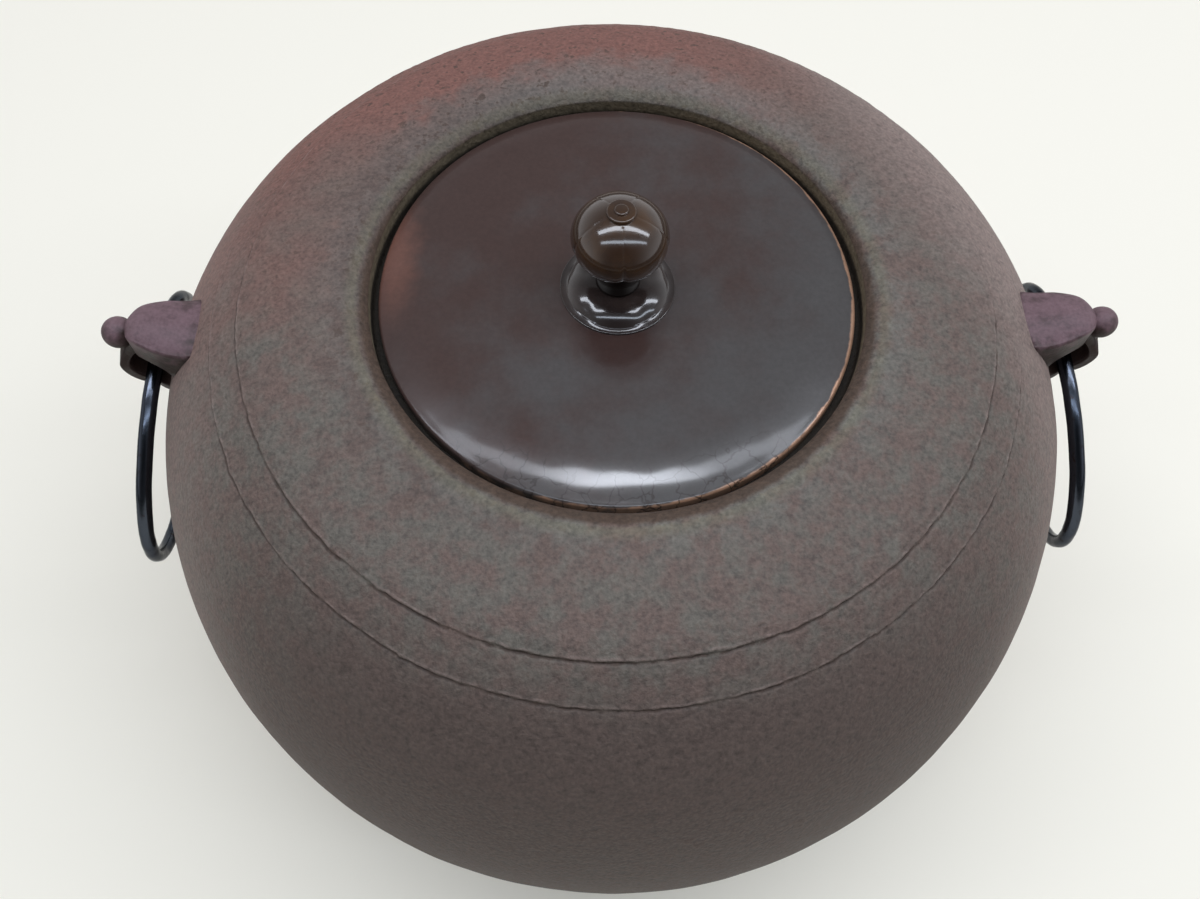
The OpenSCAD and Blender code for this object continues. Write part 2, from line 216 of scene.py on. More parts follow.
class Finishes(bpy.types.PropertyGroup):
    """Colours of the metals, the lacquers and the studio."""

    iron_brown: tone("Iron brown", "Purplish brown of the cast skin", "#65554e")
    iron_grey: tone("Iron grey", "Greenish grey of the cast skin", "#625f57")
    iron_red: tone("Iron red", "Red-brown bloom at the back of the shoulder", "#795249")
    iron_pale: tone("Iron pale", "Pale mineral bloom round the mouth", "#6b6a65")
    # Painted shade: this darkens the front of the belly, and it also darkens the left of the mouth
    iron_shade: tone("Iron shade", "Darker brown of the belly's front and left of the mouth", "#554842")
    # Also the painted shade in the furrows of the raised lines
    iron_dark: tone("Iron dark", "Dark pits and furrows of the cast skin", "#43362f")
    # Painted light: lightens the right, the flanks and the ridges of the raised lines
    iron_worn: tone("Iron worn", "Paler brown of worn ridges, flanks and right side", "#87766f")
    lip_rust: tone("Lip rust", "Rust-brown stain on the inner half of the lip", "#4a3a2f")
    mouth_halo: tone("Mouth halo", "Yellowish olive just outside the lip", "#6e6a57")
    mouth_olive: tone("Mouth olive", "Dark olive brown of the mouth's inner wall", "#665c4b")
    inside_rust: tone("Inside rust", "Rust on the inside of the kettle", "#5a3d2b")
    inside_dark: tone("Inside dark", "Dark scale on the inside of the kettle", "#2e2521")
    lug_purple: tone("Lug purple", "Purplish brown of the lugs", "#6a5358")
    # Painted shade on the lugs' lower parts and front faces
    lug_brown: tone("Lug brown", "Brown of the lugs' shaded sides", "#30201a")
    ring_black: tone("Ring black", "Blue-black of the forged wire", "#464b54")
    ring_tint: tone("Ring tint", "Grey that dims what the wire's sides mirror", "#bcbcbc")
    ring_rust: tone("Ring rust", "Rust flecks on the wire", "#33261f")
    lid_brown: tone("Lid brown", "Brown patina of the lid", "#42322e")
    lid_slate: tone("Lid slate", "Cooler patina of the lid", "#484645")
    # Copper wear at the lid's edge, lightened in part as a painted highlight
    lid_copper: tone("Lid copper", "Rubbed copper at the lid's edge", "#c69a7d")
    lid_red: tone("Lid red", "Reddish patina on the lid's border", "#7a5043")
    # Painted reflection of the knob on the lid in front of its seat
    lid_warm: tone("Lid warm", "Reddish brown patina in front of the lid's seat", "#2e1812")
    lid_crack: tone("Lid crack", "Dark hair cracks in the lid's patina", "#2a201d")
    # Painted shade on the knob's neck; also nearly black on the lid's ledge deep in the mouth
    soot: tone("Soot", "Dull black-brown of the knob's neck and the lid's ledge", "#140e0c")
    seat_dark: tone("Seat dark", "Smoked brown of the seat", "#2a2220")
    seat_brown: tone("Seat brown", "Thinner lacquer of the seat", "#352b28")
    knob_brown: tone("Knob brown", "Lacquer brown of the knob", "#332217")
    knob_amber: tone("Knob amber", "Thin amber lacquer on the knob", "#442e1c")
    plate_scale: tone("Plate scale", "Scaled iron of the singing plates", "#4a3a32")
    lacquer: tone("Lacquer", "Black-brown lacquer under the plates", "#231713")
    floor: tone("Floor", "Plain pale floor", "#fbf5e6")
    floor_far: tone("Far floor", "Greyer floor away from the kettle", "#55534f")
    room: tone("Room", "Cool white of the room's light", "#fbfcff")
    top_light: tone("Top light", "Cool white of the lamp overhead", "#eef4ff")
    front_light: tone("Front light", "Bluish white of the lamp towards the front", "#e4f0ff")


class KettleLooks(bpy.types.PropertyGroup):
    """Everything that shapes and colours the kettle."""

    body: bpy.props.PointerProperty(name="Body", description="Sizes of the body", type=BodySizes)
    lug: bpy.props.PointerProperty(name="Lugs", description="Sizes of the lugs", type=LugSizes)
    ring: bpy.props.PointerProperty(name="Rings", description="Sizes of the rings", type=RingSizes)
    lid: bpy.props.PointerProperty(name="Lid", description="Sizes of the lid", type=LidSizes)
    plate: bpy.props.PointerProperty(name="Plates", description="Sizes of the plates", type=PlateSizes)
    finish: bpy.props.PointerProperty(name="Finishes", description="Colours", type=Finishes)


class Millimetres:
    """Reads the lengths of a property group in millimetres and its other values as they are."""

    def __init__(self, group):
        for key in group.__annotations__:
            value = getattr(group, key)
            is_length = isinstance(value, float) and group.bl_rna.properties[key].unit == "LENGTH"
            setattr(self, key, value / MM if is_length else value)


def looks():
    """The kettle's settings in this scene."""
    return bpy.context.scene.kettle_looks


def unit(angle):
    """The unit vector, or an array of them, at an angle in radians."""
    return np.stack([np.cos(angle), np.sin(angle)], axis=-1)


def arc(center, radius, start, end, step):
    """Points on a circle about a centre from one angle in degrees to another, at most a step in millimetres
    apart."""
    turn = math.radians(end - start)
    count = max(2, math.ceil(abs(turn) * radius / step))
    angles = math.radians(start) + turn * np.linspace(0, 1, count + 1)
    return np.asarray(center) + radius * unit(angles)


def line(start, end, step):
    """Points on a straight line, at most a step in millimetres apart."""
    start, end = np.asarray(start, float), np.asarray(end, float)
    count = max(1, math.ceil(np.linalg.norm(end - start) / step))
    return start + (end - start) * np.linspace(0, 1, count + 1)[:, None]


def chain(*runs):
    """Joins runs of points, leaving out the points that two runs share."""
    points = np.concatenate(runs)
    apart = np.linalg.norm(np.diff(points, axis=0), axis=1) > 1e-6
    return points[np.concatenate([[True], apart])]


def polar(center, radius, degrees):
    """The point at a distance from a centre, at an angle in degrees."""
    return center + radius * unit(math.radians(degrees))


def rounded(points, radii, steps=5):
    """A path with each inner corner replaced by a tangent arc: the corner's half angle gives how far back it
    starts."""
    made = [np.asarray(points[:1], float)]
    for before, corner, after, radius in zip(points[:-2], points[1:-1], points[2:], radii):
        corner = np.asarray(corner, float)
        back = (before - corner) / np.linalg.norm(before - corner)
        ahead = (after - corner) / np.linalg.norm(after - corner)
        half = math.acos(np.clip(back @ ahead, -1, 1)) / 2
        middle = (back + ahead) / np.linalg.norm(back + ahead)
        center = corner + middle * radius / math.sin(half)
        first = corner + back * radius / math.tan(half) - center
        last = corner + ahead * radius / math.tan(half) - center
        share = np.linspace(0, 1, steps + 1)[:, None]
        bend = math.acos(np.clip(first @ last / radius ** 2, -1, 1))
        swept = np.sin((1 - share) * bend) * first + np.sin(share * bend) * last
        made.append(center + swept / math.sin(bend))
    made.append(np.asarray(points[-1:], float))
    return np.concatenate(made)


def waves(points, wavelength, seed, count=30):
    """Smooth unevenness between about -1 and 1: the sum of sine waves of one length in random directions."""
    draw = np.random.default_rng(seed)
    direction = draw.normal(size=(count, 3))
    direction *= TURN / wavelength / np.linalg.norm(direction, axis=1)[:, None]
    phase = draw.uniform(0, TURN, count)
    return np.sin(points @ direction.T + phase).sum(axis=-1) / math.sqrt(count)


def smooth(share):
    """The smooth step from 0 to 1 of a share."""
    share = np.clip(share, 0, 1)
    return share * share * (3 - 2 * share)


def turned(profile, count):
    """The loops of a profile of radii and heights turned about Z: one loop of points for each profile
    point."""
    around = unit(np.arange(count) * TURN / count)
    flat = profile[:, None, 0, None] * around[None]
    heights = np.broadcast_to(profile[:, None, 1, None], (len(profile), count, 1))
    return np.concatenate([flat, heights], axis=-1)


def mirrored(loops, side):
    """A right-hand piece's loops as they are, or mirrored and wound the other way for the left side."""
    if side < 0:
        loops = loops[:, ::-1]
    loops[..., 0] *= side
    return loops


def loft(name, loops, ring=False):
    """A closed skin over loops of points in millimetres: quads join each loop to the next, and the last to
    the first for a ring, or else a fan of triangles closes the first and the last loop at its middle."""
    rows, columns = loops.shape[:2]
    index = np.arange(rows * columns).reshape(rows, columns)
    lower = index if ring else index[:-1]
    upper = np.roll(index, -1, axis=0) if ring else index[1:]
    quads = np.stack([lower, np.roll(lower, -1, 1), np.roll(upper, -1, 1), upper], axis=-1).reshape(-1, 4)
    points = loops.reshape(-1, 3)
    faces = quads.tolist()
    if not ring:
        points = np.concatenate([points, loops[0].mean(0)[None], loops[-1].mean(0)[None]])
        first, last = index[0], index[-1]
        start, end = np.full(columns, rows * columns), np.full(columns, rows * columns + 1)
        faces += np.stack([start, np.roll(first, -1), first], axis=-1).tolist()
        faces += np.stack([end, last, np.roll(last, -1)], axis=-1).tolist()
    mesh = bpy.data.meshes.new(name)
    mesh.from_pydata((points * MM).tolist(), [], faces)
    mesh.polygons.foreach_set("use_smooth", np.ones(len(mesh.polygons), bool))
    mesh.update()
    piece = bpy.data.objects.new(name, mesh)
    bpy.context.scene.collection.objects.link(piece)
    return piece


def dress(piece, node, body, slot, *materials):
    """Lets a piece stand for a solid: it rides on the solid's body and takes its materials. The slot is not
    used.
    """
    for material in materials:
        piece.data.materials.append(material)
    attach(piece, body)
    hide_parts(node)
    return piece


def body_plan():
    """The places and radii, in millimetres, of the arcs that make the body's outline. Each arc starts where
    the one before it ends."""
    size = Millimetres(looks().body)
    size.mouth_r = size.mouth / 2
    size.belly_center = np.array([size.width / 2 - size.belly_arc, size.belly_z])
    belly_end = polar(size.belly_center, size.belly_arc, BELLY_END)
    size.shoulder_center = polar(belly_end, -size.shoulder_arc, BELLY_END)
    size.shoulder_end = polar(size.shoulder_center, size.shoulder_arc, SHOULDER_END)
    crown_start = math.radians(CROWN_START)
    size.crown_arc = (size.shoulder_end[0] - size.mouth_r - size.lip) / math.cos(crown_start)
    crown_z = size.shoulder_end[1] - size.crown_arc * math.sin(crown_start)
    size.crown_center = np.array([size.mouth_r + size.lip, crown_z])
    # The raised lines lift everything inside them
    size.raised = len(LINES) * size.line_step
    size.crest_z = crown_z + size.crown_arc + size.raised
    size.ledge_z = size.crest_z - size.ledge_depth
    size.ledge_r = size.mouth_r - size.ledge_width
    # The roll touches the crown from within, and the lip's inner edge touches the roll and the mouth's wall
    inward = size.mouth_r - (size.roll - size.edge) * math.cos(math.radians(LIP_END)) + size.edge
    roll_reach = size.crown_arc + size.raised - size.roll
    lean = math.acos((inward - size.crown_center[0]) / roll_reach)
    size.crown_end = math.degrees(lean)
    size.roll_center = size.crown_center + roll_reach * unit(lean)
    size.edge_center = polar(size.roll_center, size.roll - size.edge, LIP_END)
    lower_sine = math.sin(math.radians(-LOWER_END))
    foot_slope = math.radians(-FOOT_END)
    foot_turn = size.foot_arc * (math.sin(foot_slope) - lower_sine)
    size.lower_arc = (size.belly_z - size.base_rise - foot_turn) / lower_sine
    size.lower_center = np.array([size.width / 2 - size.lower_arc, size.belly_z])
    lower_end = polar(size.lower_center, size.lower_arc, LOWER_END)
    size.foot_center = polar(lower_end, -size.foot_arc, LOWER_END)
    size.foot_end = polar(size.foot_center, size.foot_arc, FOOT_END)
    size.base_r = size.foot_end[0] - size.foot_end[1] * math.tan(foot_slope)
    inner_foot = polar(size.foot_center, size.foot_arc - size.wall, FOOT_END)
    size.floor_r = inner_foot[0] - (inner_foot[1] - size.base_wall) * math.tan(foot_slope)
    return size


def shell_radius(size, z):
    """The body's outer radius at a height on its shoulder."""
    return size.shoulder_center[0] + np.sqrt(size.shoulder_arc ** 2 - (z - size.shoulder_center[1]) ** 2)


def eye_place(size):
    """The middle of the right lug's eye, as x and z."""
    lug = Millimetres(looks().lug)
    return np.array([shell_radius(size, lug.eye_z) + lug.eye_stand, lug.eye_z])


def shoulder_run(size):
    """The outline from belly to crest: two plain arcs with points close together at the two raised lines.
    Returns the points, and the distances along them of each point and of each line."""
    near, fine_step, crown_step = 1.6, 0.15, 2.2
    outer, inner = LINES
    bounds = (BELLY_END, outer - near, outer + near, inner - near, inner + near, SHOULDER_END)
    steps = (3, fine_step, 1.8, fine_step, 1)
    runs = [
        arc(size.shoulder_center, size.shoulder_arc, start, end, step)
        for start, end, step in zip(bounds, bounds[1:], steps)
    ]
    points = chain(*runs, arc(size.crown_center, size.crown_arc, CROWN_START, size.crown_end, crown_step))
    along = np.concatenate([[0], np.cumsum(np.linalg.norm(np.diff(points, axis=0), axis=1))])
    lines = [size.shoulder_arc * math.radians(angle - BELLY_END) for angle in LINES]
    return points, along, lines


def line_relief(size, around, along, lines):
    """The raised lines over the points of the shoulder: each is a smooth step up, with a furrow below it and
    a soft ridge above it, and wanders a little as it goes round. Returns how far each point rises in
    millimetres, and how far it lies in a furrow and on a ridge."""
    rise = np.zeros(around.shape[:2])
    furrow = np.zeros(around.shape[:2])
    wear_and_light = np.zeros(around.shape[:2])
    furrow_width, ridge_width, offset, step_width = 0.48, 0.5, 0.5, 0.5
    settling = 6
    for number, place in enumerate(lines):
        wander = 0.2 * waves(around, 38, 11 + number) + 0.1 * waves(around, 6, 21 + number)
        wander += 0.13 * waves(around, 2.8, 26 + number)
        depth = 0.85 + 0.28 * waves(around, 16, 31 + number) + 0.4 * waves(around, 3.2, 41 + number)
        depth = np.clip(depth, 0.15, 1.4)
        apart = along[:, None] - place - wander
        hollow = np.exp(-((apart + offset) / furrow_width) ** 2) * depth
        ridge = np.exp(-((apart - offset) / ridge_width) ** 2) * depth
        step = size.line_step * smooth((apart + step_width / 2) / step_width)
        rise += step + size.line_ridge * ridge - size.line_groove * hollow
        furrow = np.maximum(furrow, hollow)
        wear_and_light = np.maximum(wear_and_light, ridge)
    # Near the lip every point has the full height of both lines
    fade = smooth((along[-1] - along) / settling)[:, None]
    return size.raised + (rise - size.raised) * fade, furrow, wear_and_light


def body_loops(columns=512):
    """The body's skin as loops round Z, from the middle of its base up the outside, over the lip, down the
    inside and to the middle of its floor. The raised lines stand out along the outline's normal, and soft
    waves of the casting push the outside in. Returns the loops, how far each point lies in a furrow and on a
    ridge, and the row where the inside starts."""
    size = body_plan()
    shoulder, along, lines = shoulder_run(size)
    flat_r = size.base_r - 12
    base_rim = rounded(np.array([[4, 0], [size.base_r, 0], size.foot_end]), [6])
    below = chain(
        base_rim,
        arc(size.foot_center, size.foot_arc, FOOT_END, LOWER_END, 3),
        arc(size.lower_center, size.lower_arc, LOWER_END, 0, 3.4),
        arc(size.belly_center, size.belly_arc, 0, BELLY_END, 3.2),
    )
    below = chain(line([MIDDLE, 0], [flat_r, 0], 12), below[below[:, 0] > flat_r + 0.1])
    collar = polar(size.crown_center, size.crown_arc - size.wall, COLLAR_START)
    under_z = size.ledge_z - size.ledge_thickness
    corners = np.array([
        [size.mouth_r, size.edge_center[1]], [size.mouth_r, size.ledge_z], [size.ledge_r, size.ledge_z],
        [size.ledge_r, under_z], [collar[0], under_z], collar,
    ])
    mouth = chain(
        arc(size.roll_center, size.roll, size.crown_end, LIP_END, 0.7),
        arc(size.edge_center, size.edge, LIP_END, 180, 0.15),
        rounded(corners, [1.0, 0.8, 0.8, 1.5]),
    )
    inside = chain(
        arc(size.crown_center, size.crown_arc - size.wall, COLLAR_START, CROWN_START, 6),
        arc(size.shoulder_center, size.shoulder_arc - size.wall, SHOULDER_END, BELLY_END, 6),
        arc(size.belly_center, size.belly_arc - size.wall, BELLY_END, 0, 7),
        arc(size.lower_center, size.lower_arc - size.wall, 0, LOWER_END, 7),
        arc(size.foot_center, size.foot_arc - size.wall, LOWER_END, FOOT_END, 6),
        line([size.floor_r, size.base_wall], [MIDDLE, size.base_wall], 8),
    )
    first = len(below) - 1
    outer_rows = first + len(shoulder)
    loops = turned(np.concatenate([below[:-1], shoulder, mouth[1:], inside[1:]]), columns)
    slope = np.gradient(shoulder, along, axis=0)
    normal = np.stack([slope[:, 1], -slope[:, 0]], axis=-1)
    normal /= np.linalg.norm(normal, axis=1)[:, None]
    rise, furrow, wear_and_light = line_relief(size, loops[first:outer_rows], along, lines)
    loops[first:outer_rows] += rise[..., None] * turned(normal, columns)
    marks = np.zeros((2, *loops.shape[:2]))
    marks[:, first:outer_rows] = furrow, wear_and_light

    skin = loops[:outer_rows]
    most = 1.6
    height = smooth(skin[..., 2] / 12) * smooth((size.crest_z + 1 - skin[..., 2]) / 5)
    swell = 0.7 * waves(skin, 46, 3) + 0.4 * waves(skin, 19, 5) + 0.22 * waves(skin, 8, 7)
    outward = skin[..., :2] / np.maximum(np.linalg.norm(skin[..., :2], axis=-1), 1)[..., None]
    push = size.unevenness * height * (np.clip(swell, -most, most) - most)
    loops[:outer_rows, :, :2] += push[..., None] * outward
    # The inside's material starts in the last bend under the ledge
    bend_rows = 4
    return loops, marks, outer_rows + len(mouth) - bend_rows


def lug_outline(size, lug, eye):
    """A lug's side outline about the middle of its eye: the strap's circle, the hood's blunt nose as a
    quarter of a squared circle, its bulging top, and a curve inside the kettle's wall. Returns the bearings
    and the distances of its points, in order of bearing."""
    strap_r = lug.eye / 2 + lug.strap
    tip_z, blunt, squareness = 9.0, 6.5, 2.2
    sink, fall_length = 2.2, 15
    quarter = np.radians(np.linspace(0, 90, 28))
    nose = np.stack([lug.nose - blunt + blunt * np.cos(quarter) ** (2 / squareness),
                     tip_z + (lug.rise - tip_z) * np.sin(quarter) ** (2 / squareness)], axis=-1)
    top_x = np.linspace(lug.nose - blunt, -20, 12)[1:]
    fall = smooth((lug.nose - blunt - top_x) / fall_length)
    top = np.stack([top_x, lug.rise + (lug.root_rise - lug.rise) * fall], axis=-1)
    sunk_z = np.linspace(lug.eye_z + lug.root_rise, lug.eye_z - strap_r + 0.5, 30)
    sunk = np.stack([shell_radius(size, sunk_z) - sink, sunk_z], axis=-1) - eye
    top = top[top[:, 0] > sunk[0, 0]]
    strap = strap_r * unit(np.radians(np.linspace(-90, 40, 28)))
    outline = np.concatenate([strap, nose, top, sunk])
    bearing = np.unwrap(np.arctan2(outline[:, 1], outline[:, 0]))
    order = np.argsort(bearing)
    return bearing[order], np.hypot(*outline.T)[order]


def lug_section():
    """A lug's section as a rectangle of shares, from the eye out and across, with rounded corners. Returns
    for each point its share outward, its rounding outward, its share across and its rounding across."""
    across = np.linspace(-1, 1, 21)
    outward = np.linspace(0.85, -0.85, 9)
    bend = np.radians(np.linspace(0, 90, 5))
    sides = [
        (np.ones(21), np.zeros(21), across, -across),
        (np.ones(5), np.cos(bend) - 1, np.ones(5), np.sin(bend) - 1),
        (0.5 + outward / 2, -outward, np.ones(9), np.zeros(9)),
        (np.zeros(5), 1 - np.sin(bend), np.ones(5), np.cos(bend) - 1),
        (np.zeros(21), np.zeros(21), -across, across),
        (np.zeros(5), 1 - np.cos(bend), -np.ones(5), 1 - np.sin(bend)),
        (0.5 - outward / 2, outward, -np.ones(9), np.zeros(9)),
        (np.ones(5), np.sin(bend) - 1, -np.ones(5), 1 - np.cos(bend)),
    ]
    return [np.concatenate(part) for part in zip(*sides)]


def lug_loops(side, turns=144):
    """A lug as a rounded section carried once round its eye. At each angle the section runs from the eye out
    to the side outline. The hood is a half ellipse seen from above, and its top drops in an arc to the crisp
    edge of each flank."""
    size = body_plan()
    lug = Millimetres(looks().lug)
    eye = eye_place(size)
    eye_r = lug.eye / 2
    bearing, distance = lug_outline(size, lug, eye)
    angle = np.linspace(0, TURN, turns, endpoint=False) + bearing[0]
    reach = np.interp(angle, np.append(bearing, bearing[0] + TURN), np.append(distance, distance[0]))
    out_at, out_round, side_at, side_round = lug_section()

    corner, slimming, arc_share, drop_length, unevenness = 0.5, 0.4, 0.96, 18, 0.12
    thick = (reach - eye_r)[:, None]
    edge = np.minimum(corner, 0.4 * thick)
    share = np.clip(out_at + out_round * edge / thick, 0, 1)
    ray = unit(angle)[:, None]
    flat = ray * (eye_r + share * thick)[..., None]
    back = np.maximum(lug.nose - flat[..., 0], 0.2)
    hood = lug.root_width / 2 * np.sqrt(1 - (1 - np.minimum(back / lug.taper, 1)) ** 2)
    slim = lug.strap_width / 2 * (1 - slimming * smooth((flat[..., 1] + 1) / 9))
    half = np.maximum(hood, slim)
    place_across = np.clip(side_at + side_round * edge / half, -1, 1)
    bow = (1 - np.sqrt(1 - (arc_share * place_across) ** 2)) / (1 - math.sqrt(1 - arc_share ** 2))
    drop = (lug.nose_drop + (lug.root_drop - lug.nose_drop) * smooth(back / drop_length)) * bow
    lowered = share * drop * smooth(ray[..., 1] * 1.6)
    place = flat - ray * lowered[..., None] + eye
    loops = np.stack([place[..., 0], place_across * half, place[..., 1]], axis=-1)
    loops += unevenness * waves(loops, 7, 61)[..., None] * np.array([0, 0, 1])
    return mirrored(loops, side)


def lug_ball_loops(side, columns=40):
    """The ball at a lug's tip: a circle's profile on a short waist, turned about an axis along X."""
    size = body_plan()
    lug = Millimetres(looks().lug)
    eye = eye_place(size)
    radius = lug.ball / 2
    angles = np.radians(np.linspace(142, 3, 26))
    far = radius * np.cos(angles)
    wide = radius * np.sin(angles)
    waist = np.stack([np.linspace(-7, far[0] - 0.3, 8), np.full(8, wide[0] + 0.15)], axis=-1)
    profile = np.concatenate([waist, np.stack([far, wide], axis=-1)])
    around = unit(np.arange(columns) * TURN / columns * side)
    x = np.broadcast_to(profile[:, None, 0] + eye[0] + lug.ball_reach, (len(profile), columns)) * side
    y = profile[:, None, 1] * around[None, :, 0]
    z = profile[:, None, 1] * around[None, :, 1] + eye[1] + lug.ball_rise
    return np.stack([x, y, z], axis=-1)


def ring_loops(side, steps=220, columns=28):
    """A ring: the wire's circle carried round the ring's own circle from one end of the split to the other,
    made a little uneven by forging and rounded off at its two ends."""
    size = body_plan()
    ring = Millimetres(looks().ring)
    lug = Millimetres(looks().lug)
    eye = eye_place(size)
    radius = ring.width / 2
    fall = lug.eye / 2 - ring.wire / 2 - ring.play
    hinge = eye + fall * np.array([math.sin(ring.bearing), -math.cos(ring.bearing)])
    up = np.array([-math.sin(ring.lean), 0, math.cos(ring.lean)])
    axis = np.array([math.cos(ring.lean), 0, math.sin(ring.lean)])
    back = np.array([0, 1, 0])
    middle = np.array([hinge[0], 0, hinge[1]]) - up * ring.width / 2
    half_split = ring.split / ring.width
    end_round, end_share, unevenness = 0.8, 0.72, 0.02
    ends = np.array([0, 0.05, 0.2, 0.45, 0.8, 1.2]) / radius
    start = ring.split_place + half_split
    stop = ring.split_place + TURN - half_split
    angle = np.concatenate([start + ends, np.linspace(start + 0.05, stop - 0.05, steps), stop - ends[::-1]])
    to_end = np.minimum(angle - start, stop - angle) * ring.width / 2
    blunt = np.sqrt(np.clip(1 - (1 - np.clip(to_end / end_round, 0, 1)) ** 2, 0, 1))
    wire = ring.wire / 2 * (end_share + 0.28 * blunt)
    outward = np.cos(angle)[:, None] * up + np.sin(angle)[:, None] * back
    around = unit(np.arange(columns) * TURN / columns)
    center = middle + radius * outward
    spread = outward[:, None] * around[None, :, 0, None] + axis * around[None, :, 1, None]
    reach = wire[:, None, None] * spread
    loops = center[:, None] + reach
    loops += unevenness * waves(loops, 7, 71)[..., None] * reach
    return mirrored(loops, side)[:, ::-1]


def lid_heights():
    """The lid's sizes with the heights, in millimetres, at which the lid, seat, bud and step start, and the
    radius of the holes for the pin."""
    body = body_plan()
    lid = Millimetres(looks().lid)
    lid.radius = body.mouth_r - lid.gap
    lid.hole = lid.pin / 2 + PIN_PLAY
    lid.bottom = body.ledge_z
    lid.top = lid.bottom + lid.height
    lid.under = lid.top - lid.thickness
    lid.seat_top = lid.top + lid.seat
    lid.bud_z = lid.seat_top + lid.neck_height + lid.bud_height / 2
    lid.collar_z = lid.bud_z + lid.bud_height / 2 * math.sqrt(1 - (lid.collar / lid.bud) ** 2)
    return lid


def lid_loops(columns=360):
    """The lid turned about Z: hollow below within a standing rim, a rounded edge, a border that rises in an
    arc, and a flat top. Hammered hollows some millimetres wide dent the border, and fainter ones the middle.
    The rim lies a little towards the back, where the border falls less."""
    lid = lid_heights()
    center = np.array([lid.radius - lid.border, lid.top - lid.border_arc])
    bead_turn = math.degrees(math.acos((lid.border - lid.bead) / (lid.border_arc - lid.bead)))
    bead = polar(center, lid.border_arc - lid.bead, bead_turn)
    under_arc = lid.border_arc - lid.thickness
    rim_turn = math.degrees(math.acos((lid.border - lid.rim) / under_arc))
    foot = np.array([
        polar(center, under_arc, rim_turn), [lid.radius - lid.rim, lid.bottom],
        [lid.radius, lid.bottom], bead + [lid.bead, 0],
    ])
    below = chain(
        line([lid.hole, lid.under], [center[0], lid.under], 6),
        arc(center, under_arc, 90, rim_turn, 1.5),
        rounded(foot, [0.4, 0.4]),
    )
    above = chain(
        arc(bead, lid.bead, 0, bead_turn, 0.2),
        arc(center, lid.border_arc, bead_turn, 90, 0.6),
        line([center[0], lid.top], [lid.hole, lid.top], 2),
    )
    loops = turned(np.concatenate([below, above[1:]]), columns)
    top = loops[len(below) - 1:]
    radius = np.linalg.norm(top[..., :2], axis=-1)
    behind = smooth(1.2 * top[..., 1] / radius)
    top[..., 2] += lid.lift * behind * smooth((radius - center[0]) / (lid.border - 1.5 * lid.bead))
    border = smooth((radius - center[0] + 3) / 8)
    past_seat = smooth((radius - lid.seat_width / 2 - 1) / 3)
    dent = (0.014 + 0.026 * border) * past_seat * smooth((lid.radius - radius) / 2)
    top[..., 2] += dent * (waves(top, 21, 81) + 0.45 * waves(top, 8, 82) - 2.3)
    outer = np.linalg.norm(loops[..., :2], axis=-1)
    loops[..., 1] += lid.drift * smooth((outer - lid.seat_width / 2) / 30)
    return loops


def from_nearest(columns, first, count):
    """The angle of each column from the nearest of a count of even places round Z, the first at an angle."""
    angle = np.arange(columns) * TURN / columns
    share = TURN / count
    return ((angle - first + share / 2) % share - share / 2)[None]


def seat_loops(columns=300):
    """The seat turned about Z: a thin flange and a cushion whose side falls in an arc from its flat top.
    Between each two petals a soft crease runs down the cushion, and each petal falls a little from its middle
    to its creases."""
    lid = lid_heights()
    reach = (lid.cushion - lid.cushion_top) / 2
    fall = lid.seat - lid.flange
    curve = (reach ** 2 + fall ** 2) / (2 * fall)
    center = np.array([lid.cushion_top / 2, lid.seat_top - curve])
    edge_turn = math.degrees(math.atan2(curve - fall, reach))
    rim = np.array([[lid.seat_width / 2 - 3, lid.top], [lid.seat_width / 2, lid.top],
                    [lid.seat_width / 2, lid.top + lid.flange], [lid.cushion / 2, lid.top + lid.flange]])
    profile = chain(
        line([lid.hole, lid.top], rim[0], 3),
        rounded(rim, [0.1, 0.25]),
        arc(center, curve, edge_turn, 90, 0.2),
        line([lid.cushion_top / 2, lid.seat_top], [lid.hole, lid.seat_top], 0.8),
    )
    loops = turned(profile, columns)
    crease_width, petal_fall = 2.2, 0.18
    off = from_nearest(columns, SEAT_TURN, lid.petals)
    from_crease = TURN / lid.petals / 2 - np.abs(off)
    radius = profile[:, 0][:, None]
    raised = smooth((profile[:, 1][:, None] - lid.top - lid.flange) / 0.5)
    inward = smooth((radius - lid.neck_foot / 2 - 0.2) / 2.5)
    crease = lid.crease * np.exp(-(from_crease * radius / crease_width) ** 2)
    swell = petal_fall * (1 - np.cos(off * lid.petals)) / 2
    loops[..., 2] -= raised * inward * (crease + swell)
    return loops


